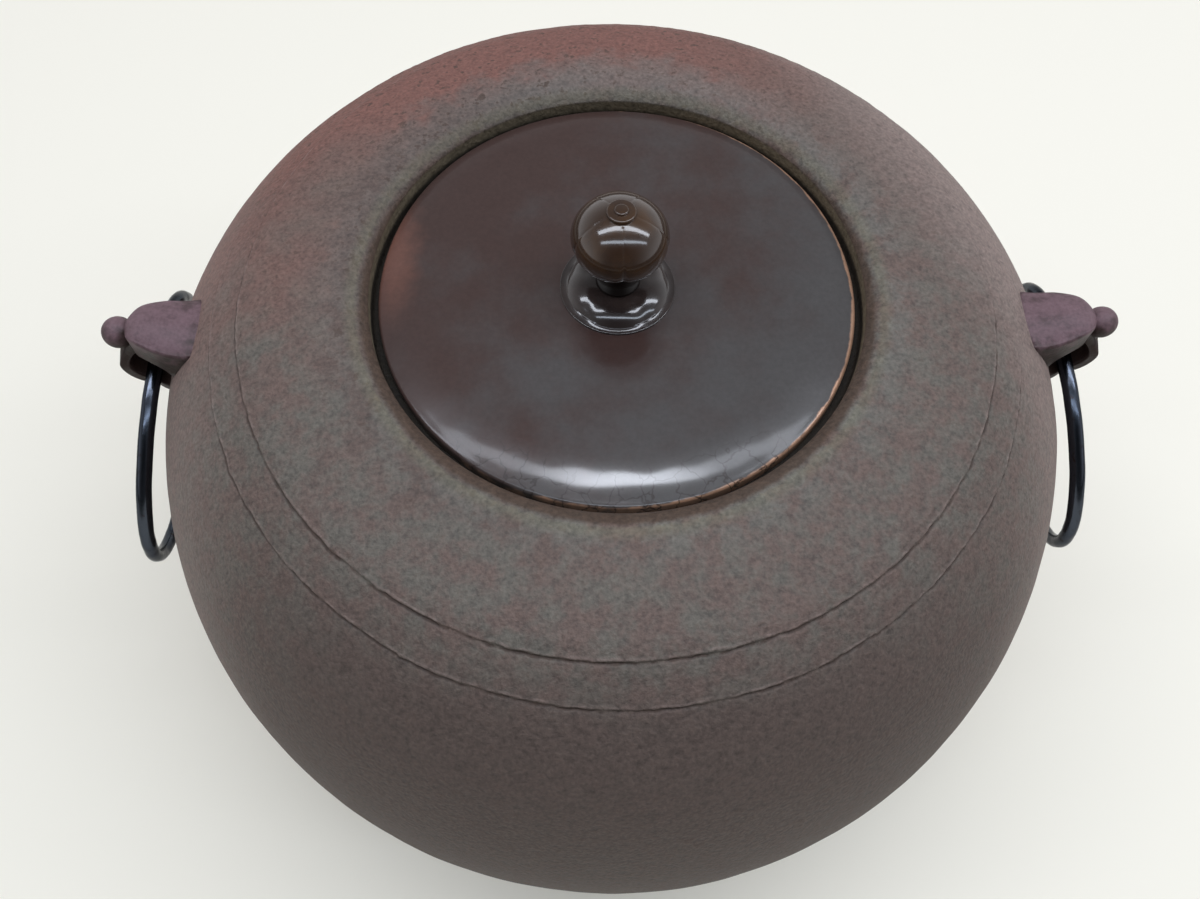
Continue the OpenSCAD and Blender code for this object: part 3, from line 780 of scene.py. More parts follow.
def knob_loops(columns=480):
    """The knob turned about Z: a spread foot, a waisted neck and an oblate bud. A soft valley runs up the bud
    between each two petals, deepest where the petals close under it."""
    lid = lid_heights()
    foot, neck = lid.neck_foot / 2, lid.neck / 2
    foot_edge, waist, lobe = 0.35, 0.4, 0.1
    under = -math.acos(neck / (lid.bud / 2))
    over = math.acos(lid.collar / lid.bud)
    waist_top = lid.bud_z + lid.bud_height / 2 * math.sin(under)
    share = np.linspace(0, 1, 22)
    stem_r = neck - waist * np.sin(math.pi * share) + (foot - neck) * (1 - share) ** 5
    stem_z = lid.seat_top + foot_edge + (waist_top - lid.seat_top - foot_edge) * share
    stem = np.stack([stem_r, stem_z], axis=-1)
    tilt = np.linspace(under, over, 96)
    bud = np.stack([lid.bud / 2 * np.cos(tilt), lid.bud_z + lid.bud_height / 2 * np.sin(tilt)], axis=-1)
    profile = chain(
        np.array([[lid.hole, lid.seat_top], [foot - 0.4, lid.seat_top]]), stem, bud,
        np.array([[lid.collar / 4 + lid.hole / 2, lid.collar_z], [lid.hole, lid.collar_z]]),
    )
    loops = turned(profile, columns)
    off = from_nearest(columns, BUD_TURN, lid.petals)
    # How high a point lies on the bud, from -1 to 1, or -2 for a point that isn't on it
    rise = np.full(len(profile), -2.0)
    start = len(profile) - 2 - len(bud)
    rise[start:start + len(bud)] = np.sin(tilt)
    low, high = math.sin(under), math.sin(over)
    inside = smooth((rise - low) / 0.1) * smooth((high - rise) / 0.03)
    depth = inside * (0.14 + 0.36 * smooth((0.45 - rise) / 0.6) + 1.1 * smooth((-0.35 - rise) / 0.45))
    width = 0.34 + 1.0 * smooth((0.3 - rise) / 1.0)
    reach = np.maximum(profile[:, 0], 1)[:, None]
    valley = depth[:, None] * np.exp(-np.abs(off * reach / width[:, None]) ** 1.4)
    lobing = lobe * inside[:, None] * (np.cos(off * lid.petals) + 1) / 2
    shrink = (profile[:, 0][:, None] - valley - lobing) / reach
    loops[..., :2] *= np.where(inside[:, None] > 0, shrink, 1.0)[..., None]
    return loops


def button_loops(hole, radius, bottom, top, edge, columns=72):
    """A flat disc turned about Z between two heights, with rounded edges and an open or a closed middle."""
    corners = np.array([[hole, bottom], [radius, bottom], [radius, top], [hole, top]])
    return turned(rounded(corners, [edge * 0.4, edge]), columns)


def spun(loops, number):
    """A plate's or a bed's loops turned about Z to its place in the circle of plates."""
    spin = math.radians(90 + number * 360 / PLATE_COUNT)
    turn = np.array([[math.cos(spin), -math.sin(spin), 0], [math.sin(spin), math.cos(spin), 0], [0, 0, 1]])
    return loops @ turn.T


def plate_loops(number, seed):
    """A singing plate as stacked outlines: a rectangle with rounded corners, drawn in at its top and bottom
    edges, bent and dented by the forge, then turned to its place on the floor."""
    size = body_plan()
    plate = Millimetres(looks().plate)
    bottom = size.base_wall + plate.bed_thickness
    squareness, dent = 7, 0.13
    angle = np.arange(96) * TURN / 96
    corner = np.abs(np.cos(angle)) ** squareness + np.abs(np.sin(angle)) ** squareness
    outline = unit(angle) / corner[:, None] ** (1 / squareness) * np.array([plate.length, plate.width]) / 2
    level = np.array([0, 0, 0, 0.1, 0.3, 0.5, 0.7, 0.9, 1, 1, 1])
    shrink = np.array([0.15, 0.6, 0.9, 0.97, 0.995, 1, 0.995, 0.97, 0.9, 0.6, 0.15])
    flat = outline[None] * shrink[:, None, None]
    z = np.broadcast_to((bottom + plate.thickness * level)[:, None, None], (*flat.shape[:2], 1))
    loops = np.concatenate([flat, z], axis=-1)
    loops[..., :2] *= (1 + 0.012 * waves(loops, 9, seed) - 0.02)[..., None]
    upper = smooth((loops[..., 2] - bottom - 0.4) / plate.thickness)
    loops[..., 2] += dent * upper * (waves(loops, 8, seed + 1) - 1.7)
    loops[..., 0] += plate.reach
    return spun(loops, number)


def bed_loops(number, columns=64):
    """A bed of lacquer as a low mound: round below, squeezed flat by the plate above, with a bulging uneven
    side."""
    size = body_plan()
    plate = Millimetres(looks().plate)
    radius = plate.bed / 2
    inset, unevenness = 0.96, 0.03
    share = np.array([0.1, 0.5, 0.9, 1.0, 1.04, 1.03, 0.97, 0.9, 0.5, 0.1])
    level = np.array([0, 0, 0, 0.06, 0.3, 0.6, 0.9, 1, 1, 1])
    profile = np.stack([radius * share * inset, size.base_wall + plate.bed_thickness * level], axis=-1)
    loops = turned(profile, columns)
    loops[..., :2] *= (1 + unevenness * waves(loops, 5, 90 + number))[..., None]
    loops[..., 0] += plate.reach + (plate.length - plate.bed) / 2
    return spun(loops, number)


def fill(tree, node, inputs):
    """Links or sets a node's inputs: a socket is linked, and any other value is set."""
    for key, value in inputs.items():
        if isinstance(value, bpy.types.NodeSocket):
            tree.links.new(value, node.inputs[key])
        else:
            node.inputs[key].default_value = value


def add(tree, kind, inputs, **settings):
    """Adds a node with its settings and its links, and returns its outputs."""
    node = tree.nodes.new(kind)
    for key, value in settings.items():
        setattr(node, key, value)
    fill(tree, node, inputs)
    return node.outputs


def per(millimetres):
    """The scale at which a pattern's features are about this many millimetres wide."""
    return 1 / (millimetres * MM)


def start_material(name):
    """A new material with its node tree, its shader and the piece's own coordinates in metres."""
    material = bpy.data.materials.new(name)
    material.use_nodes = True
    tree = material.node_tree
    place = add(tree, "ShaderNodeTexCoord", {})["Object"]
    return material, tree, tree.nodes["Principled BSDF"], place


def layered(tree, colour, layers):
    """A colour with further colours laid over it, each through its own mask."""
    for mask, over in layers:
        colour = add(tree, "ShaderNodeMix", {0: mask, 6: colour, 7: over}, data_type="RGBA")[2]
    return colour


def cast_skin(finish):
    """Sand-cast iron, browned by use: sand grains under a millimetre, and purplish brown that drifts into
    greenish grey towards the front. The back is pitted and blushes red high up. The front of the belly is
    darkened as painted shade, the left of the mouth is darker, and the flanks and the right are lightened
    as painted light. A pale bloom rings the mouth, with an olive halo just outside the lip, rust on the
    lip's inner half and a near black on the ledge deep in the mouth. The raised lines get painted shade in
    the furrow and a painted highlight on the ridge."""
    material, tree, shader, place = start_material("browned_sand_cast_iron")
    size = body_plan()
    across = add(tree, "ShaderNodeSeparateXYZ", {0: place})
    flat = add(tree, "ShaderNodeVectorMath", {0: place, 1: (1, 1, 0)}, operation="MULTIPLY")[0]
    radius = add(tree, "ShaderNodeVectorMath", {0: flat}, operation="LENGTH")["Value"]
    noise = {}
    for name, width, detail in (("grain", 1.0, 2), ("mottle", 2.2, 3), ("drift", 7, 4), ("cloud", 45, 3)):
        inputs = {"Vector": place, "Scale": per(width), "Detail": detail, "Roughness": 0.6}
        noise[name] = add(tree, "ShaderNodeTexNoise", inputs)["Fac"]
    furrow = add(tree, "ShaderNodeAttribute", {}, attribute_name="furrow")["Fac"]
    ridge = add(tree, "ShaderNodeAttribute", {}, attribute_name="ridge")["Fac"]
    broken = add(tree, "ShaderNodeMath", {0: furrow, 1: noise["mottle"]}, operation="MULTIPLY")[0]

    # Places that the masks start from: those of the blush, the bloom and the lip's stains drift with the noise
    behind = add(tree, "ShaderNodeVectorMath", {0: place, 1: (-0.45, 1, 0)}, operation="DOT_PRODUCT")["Value"]
    sunny = add(tree, "ShaderNodeVectorMath", {0: place, 1: (0.9, 0.45, 0)}, operation="DOT_PRODUCT")["Value"]
    aside = add(tree, "ShaderNodeMath", {0: across["X"]}, operation="ABSOLUTE")[0]
    wander = add(tree, "ShaderNodeMath", {0: noise["cloud"], 1: 0.14, 2: behind}, operation="MULTIPLY_ADD")[0]
    spread = add(tree, "ShaderNodeMath", {0: noise["drift"], 1: 0.03, 2: radius}, operation="MULTIPLY_ADD")[0]
    inputs = {0: noise["mottle"], 1: 0.0016, 2: radius}
    rough_r = add(tree, "ShaderNodeMath", inputs, operation="MULTIPLY_ADD")[0]
    stain = add(tree, "ShaderNodeMath", {0: across["Y"], 1: 0.036, 2: rough_r}, operation="MULTIPLY_ADD")[0]
    lip_r = (size.mouth_r + size.lip) * MM
    crest_z = size.crest_z * MM

    # Each mask is a value, the value where the mask starts, the value where it is full, and its full strength
    masks = {
        "grey": (noise["drift"], 0.36, 0.66, 0.8),
        "red": (wander, 0.075, 0.17, 0.95),
        "ahead": (across["Y"], 0.08, -0.03, 1.0),
        "high": (across["Z"], 0.1, 0.155, 1.0),
        "bloom": (spread, 0.096, 0.079, 0.8),
        # The front and low masks make the painted shade on the belly's front
        "front": (across["Y"], -0.045, -0.105, 1.0),
        "low": (across["Z"], 0.187, 0.172, 0.95),
        "rust": (stain, lip_r + 0.0002, lip_r - 0.0014, 0.9),
        "wall": (across["Z"], crest_z - 0.0031, crest_z - 0.0040, 1.0),
        "past": (stain, lip_r - 0.0006, lip_r + 0.0008, 0.4),
        "short": (stain, lip_r + 0.004, lip_r + 0.0008, 1.0),
        # The flank mask lightens the sides as painted light
        "flank": (aside, 0.085, 0.122, 0.5),
        "deep": (across["Z"], crest_z - 0.0058, crest_z - 0.0076, 0.85),
        "within": (radius, lip_r - 0.0012, lip_r - 0.0022, 1.0),
        "hole": (noise["mottle"], 0.55, 0.68, 0.75),
        "speck": (noise["mottle"], 0.57, 0.7, 0.4),
        # The right mask lightens the right and the back right as painted light
        "right": (sunny, 0.068, 0.104, 0.95),
        # The left mask with the bloom darkens the left of the mouth
        "left": (across["X"], 0.01, -0.05, 0.8),
        # The hollow and crest masks paint shade in the raised lines' furrows and a highlight on their ridges
        "hollow": (broken, 0.1, 0.5, 0.85),
        "crest": (ridge, 0.4, 1.1, 0.35),
    }
    mask = {}
    for name, (value, start, full, most) in masks.items():
        inputs = {"Value": value, "From Min": start, "From Max": full, "To Max": most}
        mask[name] = add(tree, "ShaderNodeMapRange", inputs, interpolation_type="SMOOTHSTEP")[0]
    # Where two masks overlap
    pairs = (
        ("cool", "grey", "ahead"), ("shade", "front", "low"), ("pale", "bloom", "grey"),
        ("inner", "wall", "within"), ("pit", "hole", "red"), ("rough", "bloom", "left"),
        ("halo", "past", "short"), ("ledge", "deep", "within"), ("blush", "red", "high"),
        ("ring", "bloom", "red"),
    )
    for name, first, second in pairs:
        mask[name] = add(tree, "ShaderNodeMath", {0: mask[first], 1: mask[second]}, operation="MULTIPLY")[0]
    pocked = add(tree, "ShaderNodeMath", {0: mask["rough"], 1: mask["hole"]}, operation="MULTIPLY")[0]
    # Among these layers are painted shade on the belly's front, painted light on the right and the flanks, and
    # painted shade and highlight along the raised lines
    colour = layered(tree, finish.iron_brown, [
        (mask["cool"], finish.iron_grey), (mask["blush"], finish.iron_red), (mask["pale"], finish.iron_pale),
        (mask["ring"], finish.iron_pale), (mask["right"], finish.iron_worn),
        (mask["rough"], finish.iron_shade), (mask["shade"], finish.iron_shade),
        (mask["speck"], finish.iron_dark), (mask["pit"], finish.iron_dark), (pocked, finish.iron_dark),
        (mask["flank"], finish.iron_worn), (mask["halo"], finish.mouth_halo), (mask["rust"], finish.lip_rust),
        (mask["inner"], finish.mouth_olive), (mask["ledge"], finish.soot), (mask["hollow"], finish.iron_dark),
        (mask["crest"], finish.iron_worn),
    ])
    fine = add(tree, "ShaderNodeMath", {0: noise["grain"], 1: noise["mottle"]}, operation="ADD")[0]
    inputs = {"Value": fine, "From Min": 0.6, "From Max": 1.4, "To Min": 0.55, "To Max": 1.45}
    shade = add(tree, "ShaderNodeMapRange", inputs)[0]
    inputs = {0: 1.0, 6: colour, 7: shade}
    colour = add(tree, "ShaderNodeMix", inputs, data_type="RGBA", blend_type="MULTIPLY")[2]
    inputs = {"Value": noise["mottle"], "From Min": 0.3, "From Max": 0.7, "To Min": 0.62, "To Max": 0.78}
    gloss = add(tree, "ShaderNodeMapRange", inputs)[0]
    bump = add(tree, "ShaderNodeBump", {"Height": fine, "Strength": 0.7, "Distance": 0.4 * MM})[0]
    fill(tree, shader, {"Base Color": colour, "Roughness": gloss, "Normal": bump, "Specular IOR Level": 0.35})
    return material


def inside_skin(finish):
    """The kettle's inside: dark boiled scale over iron, with rust spreading in blotches of about a
    centimetre."""
    material, tree, shader, place = start_material("scaled_iron_inside")
    inputs = {"Vector": place, "Scale": per(14), "Detail": 5.0, "Roughness": 0.65}
    blotch = add(tree, "ShaderNodeTexNoise", inputs)["Fac"]
    grain = add(tree, "ShaderNodeTexNoise", {"Vector": place, "Scale": per(1.4), "Detail": 2.0})["Fac"]
    inputs = {"Value": blotch, "From Min": 0.42, "From Max": 0.66}
    rust = add(tree, "ShaderNodeMapRange", inputs, interpolation_type="SMOOTHSTEP")[0]
    colour = layered(tree, finish.inside_dark, [(rust, finish.inside_rust)])
    inputs = {"Value": grain, "From Min": 0.25, "From Max": 0.75, "To Min": 0.7, "To Max": 1.3}
    shade = add(tree, "ShaderNodeMapRange", inputs)[0]
    inputs = {0: 1.0, 6: colour, 7: shade}
    colour = add(tree, "ShaderNodeMix", inputs, data_type="RGBA", blend_type="MULTIPLY")[2]
    relief = add(tree, "ShaderNodeMath", {0: grain, 1: 0.4, 2: blotch}, operation="MULTIPLY_ADD")[0]
    bump = add(tree, "ShaderNodeBump", {"Height": relief, "Strength": 0.6, "Distance": 0.6 * MM})[0]
    fill(tree, shader, {"Base Color": colour, "Roughness": 0.82, "Normal": bump, "Specular IOR Level": 0.3})
    return material


def lug_skin(finish):
    """Fine-sand cast iron of the lugs: smoother and more purple than the body, and darker brown below a
    height that wanders a little, as painted shade on their lower parts and front faces."""
    material, tree, shader, place = start_material("fine_cast_iron")
    grain = add(tree, "ShaderNodeTexNoise", {"Vector": place, "Scale": per(0.9), "Detail": 2.0})["Fac"]
    patch = add(tree, "ShaderNodeTexNoise", {"Vector": place, "Scale": per(4), "Detail": 3.0})["Fac"]
    height = add(tree, "ShaderNodeSeparateXYZ", {0: place})["Z"]
    # Below a height that wanders with the patches the lugs are painted darker brown, as painted shade
    wear_and_light = add(tree, "ShaderNodeMath", {0: patch, 1: 0.014, 2: height}, operation="MULTIPLY_ADD")[0]
    eye_z = looks().lug.eye_z
    inputs = {"Value": wear_and_light, "From Min": eye_z + 0.0155, "From Max": eye_z + 0.0225}
    rub_and_light = add(tree, "ShaderNodeMapRange", inputs, interpolation_type="SMOOTHSTEP")[0]
    colour = layered(tree, finish.lug_brown, [(rub_and_light, finish.lug_purple)])
    fine = add(tree, "ShaderNodeMath", {0: grain, 1: patch}, operation="ADD")[0]
    inputs = {"Value": fine, "From Min": 0.6, "From Max": 1.4, "To Min": 0.72, "To Max": 1.28}
    shade = add(tree, "ShaderNodeMapRange", inputs)[0]
    inputs = {0: 1.0, 6: colour, 7: shade}
    colour = add(tree, "ShaderNodeMix", inputs, data_type="RGBA", blend_type="MULTIPLY")[2]
    inputs = {"Value": patch, "From Min": 0.3, "From Max": 0.7, "To Min": 0.48, "To Max": 0.64}
    gloss = add(tree, "ShaderNodeMapRange", inputs)[0]
    bump = add(tree, "ShaderNodeBump", {"Height": fine, "Strength": 0.4, "Distance": 0.3 * MM})[0]
    fill(tree, shader, {"Base Color": colour, "Roughness": gloss, "Normal": bump, "Specular IOR Level": 0.35})
    return material


def forged_wire(finish):
    """Forged iron wire under burnished black oxide: a dark blue-grey metal that mirrors little even towards
    its sides, with small hammer facets and rust flecks."""
    material, tree, shader, place = start_material("blackened_forged_iron")
    inputs = {"Vector": place, "Scale": per(2.2), "Detail": 4.0, "Roughness": 0.7}
    fleck = add(tree, "ShaderNodeTexNoise", inputs)["Fac"]
    facet = add(tree, "ShaderNodeTexNoise", {"Vector": place, "Scale": per(4.5), "Detail": 1.0})["Fac"]
    inputs = {"Value": fleck, "From Min": 0.58, "From Max": 0.7, "To Max": 0.7}
    rust = add(tree, "ShaderNodeMapRange", inputs, interpolation_type="SMOOTHSTEP")[0]
    colour = layered(tree, finish.ring_black, [(rust, finish.ring_rust)])
    inputs = {"Value": fleck, "From Min": 0.35, "From Max": 0.7, "To Min": 0.18, "To Max": 0.26}
    gloss = add(tree, "ShaderNodeMapRange", inputs)[0]
    bump = add(tree, "ShaderNodeBump", {"Height": facet, "Strength": 0.2, "Distance": 0.4 * MM})[0]
    fill(tree, shader, {"Base Color": colour, "Roughness": gloss, "Normal": bump, "Metallic": 1.0})
    fill(tree, shader, {"Specular Tint": finish.ring_tint})
    return material


def lid_patina(finish):
    """Bronze with a smoked brown patina under wax: satin, with a clearer gloss where the wax is thick at the
    front, and cooler towards the front right. It is reddish on the left of the border, and a painted
    reflection of the knob lies dark reddish brown in front of the seat. The edge is copper through wear in
    places and partly lightened as a painted highlight, and the front of the border is crazed by hair cracks
    some millimetres apart, round plates that stand a little proud."""
    material, tree, shader, place = start_material("brown_patinated_bronze")
    lid = lid_heights()
    flat = add(tree, "ShaderNodeVectorMath", {0: place, 1: (1, 1, 0)}, operation="MULTIPLY")[0]
    radius = add(tree, "ShaderNodeVectorMath", {0: flat}, operation="LENGTH")["Value"]
    across = add(tree, "ShaderNodeSeparateXYZ", {0: place})
    noise = {}
    for name, width, detail in (("speck", 1.2, 3), ("rub", 5, 3), ("cloud", 20, 5)):
        inputs = {"Vector": place, "Scale": per(width), "Detail": detail, "Roughness": 0.58}
        noise[name] = add(tree, "ShaderNodeTexNoise", inputs)["Fac"]
    bent = add(tree, "ShaderNodeTexNoise", {"Vector": place, "Scale": per(3), "Detail": 2.0})["Color"]
    inputs = {0: bent, 1: (0.004, 0.004, 0.004), 2: flat}
    warped = add(tree, "ShaderNodeVectorMath", inputs, operation="MULTIPLY_ADD")[0]
    inputs = {"Vector": warped, "Scale": per(5.5)}
    crack = add(tree, "ShaderNodeTexVoronoi", inputs, feature="DISTANCE_TO_EDGE")["Distance"]

    # The copper edge, which is partly a painted highlight, lies further in at the front right than at the back
    # left
    inputs = {0: noise["rub"], 1: 0.0016, 2: radius}
    rough_r = add(tree, "ShaderNodeMath", inputs, operation="MULTIPLY_ADD")[0]
    inputs = {0: place, 1: (0.013, -0.008, 0)}
    tipped = add(tree, "ShaderNodeVectorMath", inputs, operation="DOT_PRODUCT")["Value"]
    wear_and_light = add(tree, "ShaderNodeMath", {0: tipped, 1: rough_r}, operation="ADD")[0]
    # Distances from the border's front and left, stretched to ellipses, and from a place before the seat
    off_front = add(tree, "ShaderNodeVectorMath", {0: flat, 1: (0, -0.0545, 0)}, operation="SUBTRACT")[0]
    flattened = add(tree, "ShaderNodeVectorMath", {0: off_front, 1: (1, 2.4, 0)}, operation="MULTIPLY")[0]
    rub_and_light = add(tree, "ShaderNodeVectorMath", {0: flattened}, operation="LENGTH")["Value"]
    off_left = add(tree, "ShaderNodeVectorMath", {0: warped, 1: (-0.0545, 0.013, 0)}, operation="SUBTRACT")[0]
    squeezed = add(tree, "ShaderNodeVectorMath", {0: off_left, 1: (3, 1, 0)}, operation="MULTIPLY")[0]
    aside = add(tree, "ShaderNodeVectorMath", {0: squeezed}, operation="LENGTH")["Value"]
    shift = add(tree, "ShaderNodeVectorMath", {0: flat, 1: (0, -0.016, 0)}, operation="SUBTRACT")[0]
    before = add(tree, "ShaderNodeVectorMath", {0: shift}, operation="LENGTH")["Value"]
    lean = add(tree, "ShaderNodeVectorMath", {0: place, 1: (2.6, -1.9, 0)}, operation="DOT_PRODUCT")["Value"]
    cooler = add(tree, "ShaderNodeMath", {0: noise["cloud"], 1: 0.55, 2: lean}, operation="MULTIPLY_ADD")[0]
    edge_r = (lid.radius - 0.25) * MM

    # Each mask is a value, the value where the mask starts, the value where it is full, and its full strength
    masks = {
        "cool": (cooler, 0.14, 0.46, 0.9),
        "edge": (wear_and_light, edge_r + 0.0006, edge_r + 0.0012, 0.85),
        "left": (aside, 0.027, 0.002, 0.58),
        # The seat mask lays a painted reflection of the knob on the lid in front of the seat
        "seat": (before, 0.014, 0.005, 0.8),
        "polish": (rub_and_light, 0.028, 0.004, 1.0),
        "hair": (crack, 0.05, 0.0, 0.85),
        "border": (radius, 0.049, 0.053, 1.0),
        "front": (across["Y"], -0.038, -0.048, 1.0),
    }
    mask = {}
    for name, (value, start, full, most) in masks.items():
        inputs = {"Value": value, "From Min": start, "From Max": full, "To Max": most}
        mask[name] = add(tree, "ShaderNodeMapRange", inputs, interpolation_type="SMOOTHSTEP")[0]
    reach = add(tree, "ShaderNodeMath", {0: mask["front"], 1: mask["border"]}, operation="MULTIPLY")[0]
    crazed = add(tree, "ShaderNodeMath", {0: mask["hair"], 1: reach}, operation="MULTIPLY")[0]
    colour = layered(tree, finish.lid_brown, [
        (mask["cool"], finish.lid_slate), (mask["seat"], finish.lid_warm), (mask["left"], finish.lid_red),
        (mask["edge"], finish.lid_copper), (crazed, finish.lid_crack),
    ])
    inputs = {"Value": noise["speck"], "From Min": 0.25, "From Max": 0.75, "To Min": 0.9, "To Max": 1.1}
    shade = add(tree, "ShaderNodeMapRange", inputs)[0]
    inputs = {0: 1.0, 6: colour, 7: shade}
    colour = add(tree, "ShaderNodeMix", inputs, data_type="RGBA", blend_type="MULTIPLY")[2]
    inputs = {"Value": noise["cloud"], "From Min": 0.3, "From Max": 0.7, "To Min": 0.3, "To Max": 0.38}
    gloss = add(tree, "ShaderNodeMapRange", inputs)[0]
    wax = add(tree, "ShaderNodeMapRange", {"Value": mask["polish"], "To Min": 0.2, "To Max": 1.0})[0]
    metal = add(tree, "ShaderNodeMath", {0: mask["edge"], 1: 0.5}, operation="MULTIPLY")[0]
    flakes = add(tree, "ShaderNodeMath", {0: crack, 1: reach}, operation="MULTIPLY")[0]
    inputs = {0: flakes, 1: 3.5, 2: noise["speck"]}
    plates = add(tree, "ShaderNodeMath", inputs, operation="MULTIPLY_ADD")[0]
    relief = add(tree, "ShaderNodeMath", {0: crazed, 1: -0.8, 2: plates}, operation="MULTIPLY_ADD")[0]
    bump = add(tree, "ShaderNodeBump", {"Height": relief, "Strength": 0.1, "Distance": 0.2 * MM})[0]
    fill(tree, shader, {"Base Color": colour, "Roughness": gloss, "Metallic": metal, "Normal": bump})
    fill(tree, shader, {"Coat Weight": wax, "Coat Roughness": 0.12, "Coat IOR": 1.7})
    fill(tree, shader, {"Specular IOR Level": 0.27})
    return material


def knob_lacquer(name, thick, thinned, neck_top):
    """Polished bronze under glossy lacquer: dark where it is thick, lighter where it is thin, clear enough to
    mirror the lamps, and dull and nearly black below a height given in metres: painted shade on the neck."""
    material, tree, shader, place = start_material(name)
    cloud = add(tree, "ShaderNodeTexNoise", {"Vector": place, "Scale": per(9), "Detail": 3.0})["Fac"]
    rub = add(tree, "ShaderNodeTexNoise", {"Vector": place, "Scale": per(1.6), "Detail": 3.0})["Fac"]
    inputs = {"Value": cloud, "From Min": 0.42, "From Max": 0.66}
    thin = add(tree, "ShaderNodeMapRange", inputs, interpolation_type="SMOOTHSTEP")[0]
    height = add(tree, "ShaderNodeSeparateXYZ", {0: place})["Z"]
    inputs = {"Value": height, "From Min": neck_top + 0.0012, "From Max": neck_top - 0.0008}
    neck_shade = add(tree, "ShaderNodeMapRange", inputs, interpolation_type="SMOOTHSTEP")[0]
    colour = layered(tree, thick, [(thin, thinned), (neck_shade, looks().finish.soot)])
    clear = add(tree, "ShaderNodeMapRange", {"Value": neck_shade, "To Min": 0.9, "To Max": 0.05})[0]
    inputs = {"Value": rub, "From Min": 0.3, "From Max": 0.75, "To Min": 0.2, "To Max": 0.26}
    gloss = add(tree, "ShaderNodeMapRange", inputs)[0]
    bump = add(tree, "ShaderNodeBump", {"Height": rub, "Strength": 0.04, "Distance": 0.2 * MM})[0]
    fill(tree, shader, {"Base Color": colour, "Roughness": gloss, "Normal": bump, "Specular IOR Level": 0.25})
    fill(tree, shader, {"Coat Weight": clear, "Coat Roughness": 0.09, "Coat IOR": 1.55})
    return material


def scaled_plate(finish):
    """Old scrap iron of the singing plates: flaking dark scale with rust at its edges."""
    material, tree, shader, place = start_material("scaled_plate_iron")
    inputs = {"Vector": place, "Scale": per(3.5), "Detail": 4.0, "Roughness": 0.65}
    flake = add(tree, "ShaderNodeTexNoise", inputs)["Fac"]
    inputs = {"Value": flake, "From Min": 0.48, "From Max": 0.64}
    rust = add(tree, "ShaderNodeMapRange", inputs, interpolation_type="SMOOTHSTEP")[0]
    colour = layered(tree, finish.plate_scale, [(rust, finish.inside_rust)])
    bump = add(tree, "ShaderNodeBump", {"Height": flake, "Strength": 0.5, "Distance": 0.5 * MM})[0]
    fill(tree, shader, {"Base Color": colour, "Roughness": 0.75, "Normal": bump, "Specular IOR Level": 0.35})
    return material


def bed_lacquer(finish):
    """Raw lacquer putty: black-brown and half glossy, wrinkled a little as it dried."""
    material, tree, shader, place = start_material("raw_lacquer_putty")
    wrinkle = add(tree, "ShaderNodeTexNoise", {"Vector": place, "Scale": per(2), "Detail": 3.0})["Fac"]
    inputs = {"Value": wrinkle, "From Min": 0.45, "From Max": 0.65, "To Max": 0.6}
    dull = add(tree, "ShaderNodeMapRange", inputs, interpolation_type="SMOOTHSTEP")[0]
    colour = layered(tree, finish.lacquer, [(dull, finish.inside_dark)])
    bump = add(tree, "ShaderNodeBump", {"Height": wrinkle, "Strength": 0.5, "Distance": 0.4 * MM})[0]
    fill(tree, shader, {"Base Color": colour, "Roughness": 0.32, "Normal": bump})
    return material


class KETTLE_OT_body(bpy.types.Operator):
    """Builds the cast body with its raised lines, mouth and inside."""

    bl_idname = "kettle.body"
    bl_label = "Cast body"

    def execute(self, context):
        loops, marks, inside_row = body_loops()
        rows, columns = loops.shape[:2]
        piece = loft("cast_body", loops)
        # The furrow and ridge marks carry the painted shade and painted highlight of the raised lines
        for name, mark in zip(("furrow", "ridge"), marks):
            layer = piece.data.attributes.new(name, "FLOAT", "POINT")
            layer.data.foreach_set("value", np.concatenate([mark.ravel(), [0, 0]]).astype(np.float32))
        finish = looks().finish
        dress(piece, "kettle_body", "kettle", "kettle_iron", cast_skin(finish), inside_skin(finish))
        slots = np.zeros(len(piece.data.polygons), np.int32)
        slots[inside_row * columns:(rows - 1) * columns] = 1
        slots[-columns:] = 1
        piece.data.polygons.foreach_set("material_index", slots)
        return {"FINISHED"}


class KETTLE_OT_lugs(bpy.types.Operator):
    """Builds the two lugs, each a hood over an eye with a ball at its tip."""

    bl_idname = "kettle.lugs"
    bl_label = "Lugs"

    def execute(self, context):
        skin = lug_skin(looks().finish)
        for name, side in SIDES.items():
            hood = loft(f"cast_{name}_lug", lug_loops(side), ring=True)
            dress(hood, f"{name}_lug", "kettle", "lug_iron", skin)
            ball = loft(f"cast_{name}_lug_ball", lug_ball_loops(side))
            dress(ball, f"{name}_lug", "kettle", "lug_iron", skin)
        return {"FINISHED"}


class KETTLE_OT_rings(bpy.types.Operator):
    """Builds the two carrying rings of split wire."""

    bl_idname = "kettle.rings"
    bl_label = "Rings"

    def execute(self, context):
        wire = forged_wire(looks().finish)
        for name, side in SIDES.items():
            piece = loft(f"wire_{name}_ring", ring_loops(side))
            dress(piece, f"{name}_ring", f"{name}_ring", "ring_iron", wire)
        return {"FINISHED"}


class KETTLE_OT_lid(bpy.types.Operator):
    """Builds the lid and the washer under it."""

    bl_idname = "kettle.lid"
    bl_label = "Lid"

    def execute(self, context):
        lid = lid_heights()
        patina = lid_patina(looks().finish)
        dress(loft("bronze_lid", lid_loops()), "lid_plate", "lid", "lid_bronze", patina)
        washer = button_loops(lid.hole, lid.washer / 2, lid.under - lid.washer_height, lid.under, 0.3)
        dress(loft("bronze_washer", washer), "pin_washer", "lid", "lid_bronze", patina)
        return {"FINISHED"}


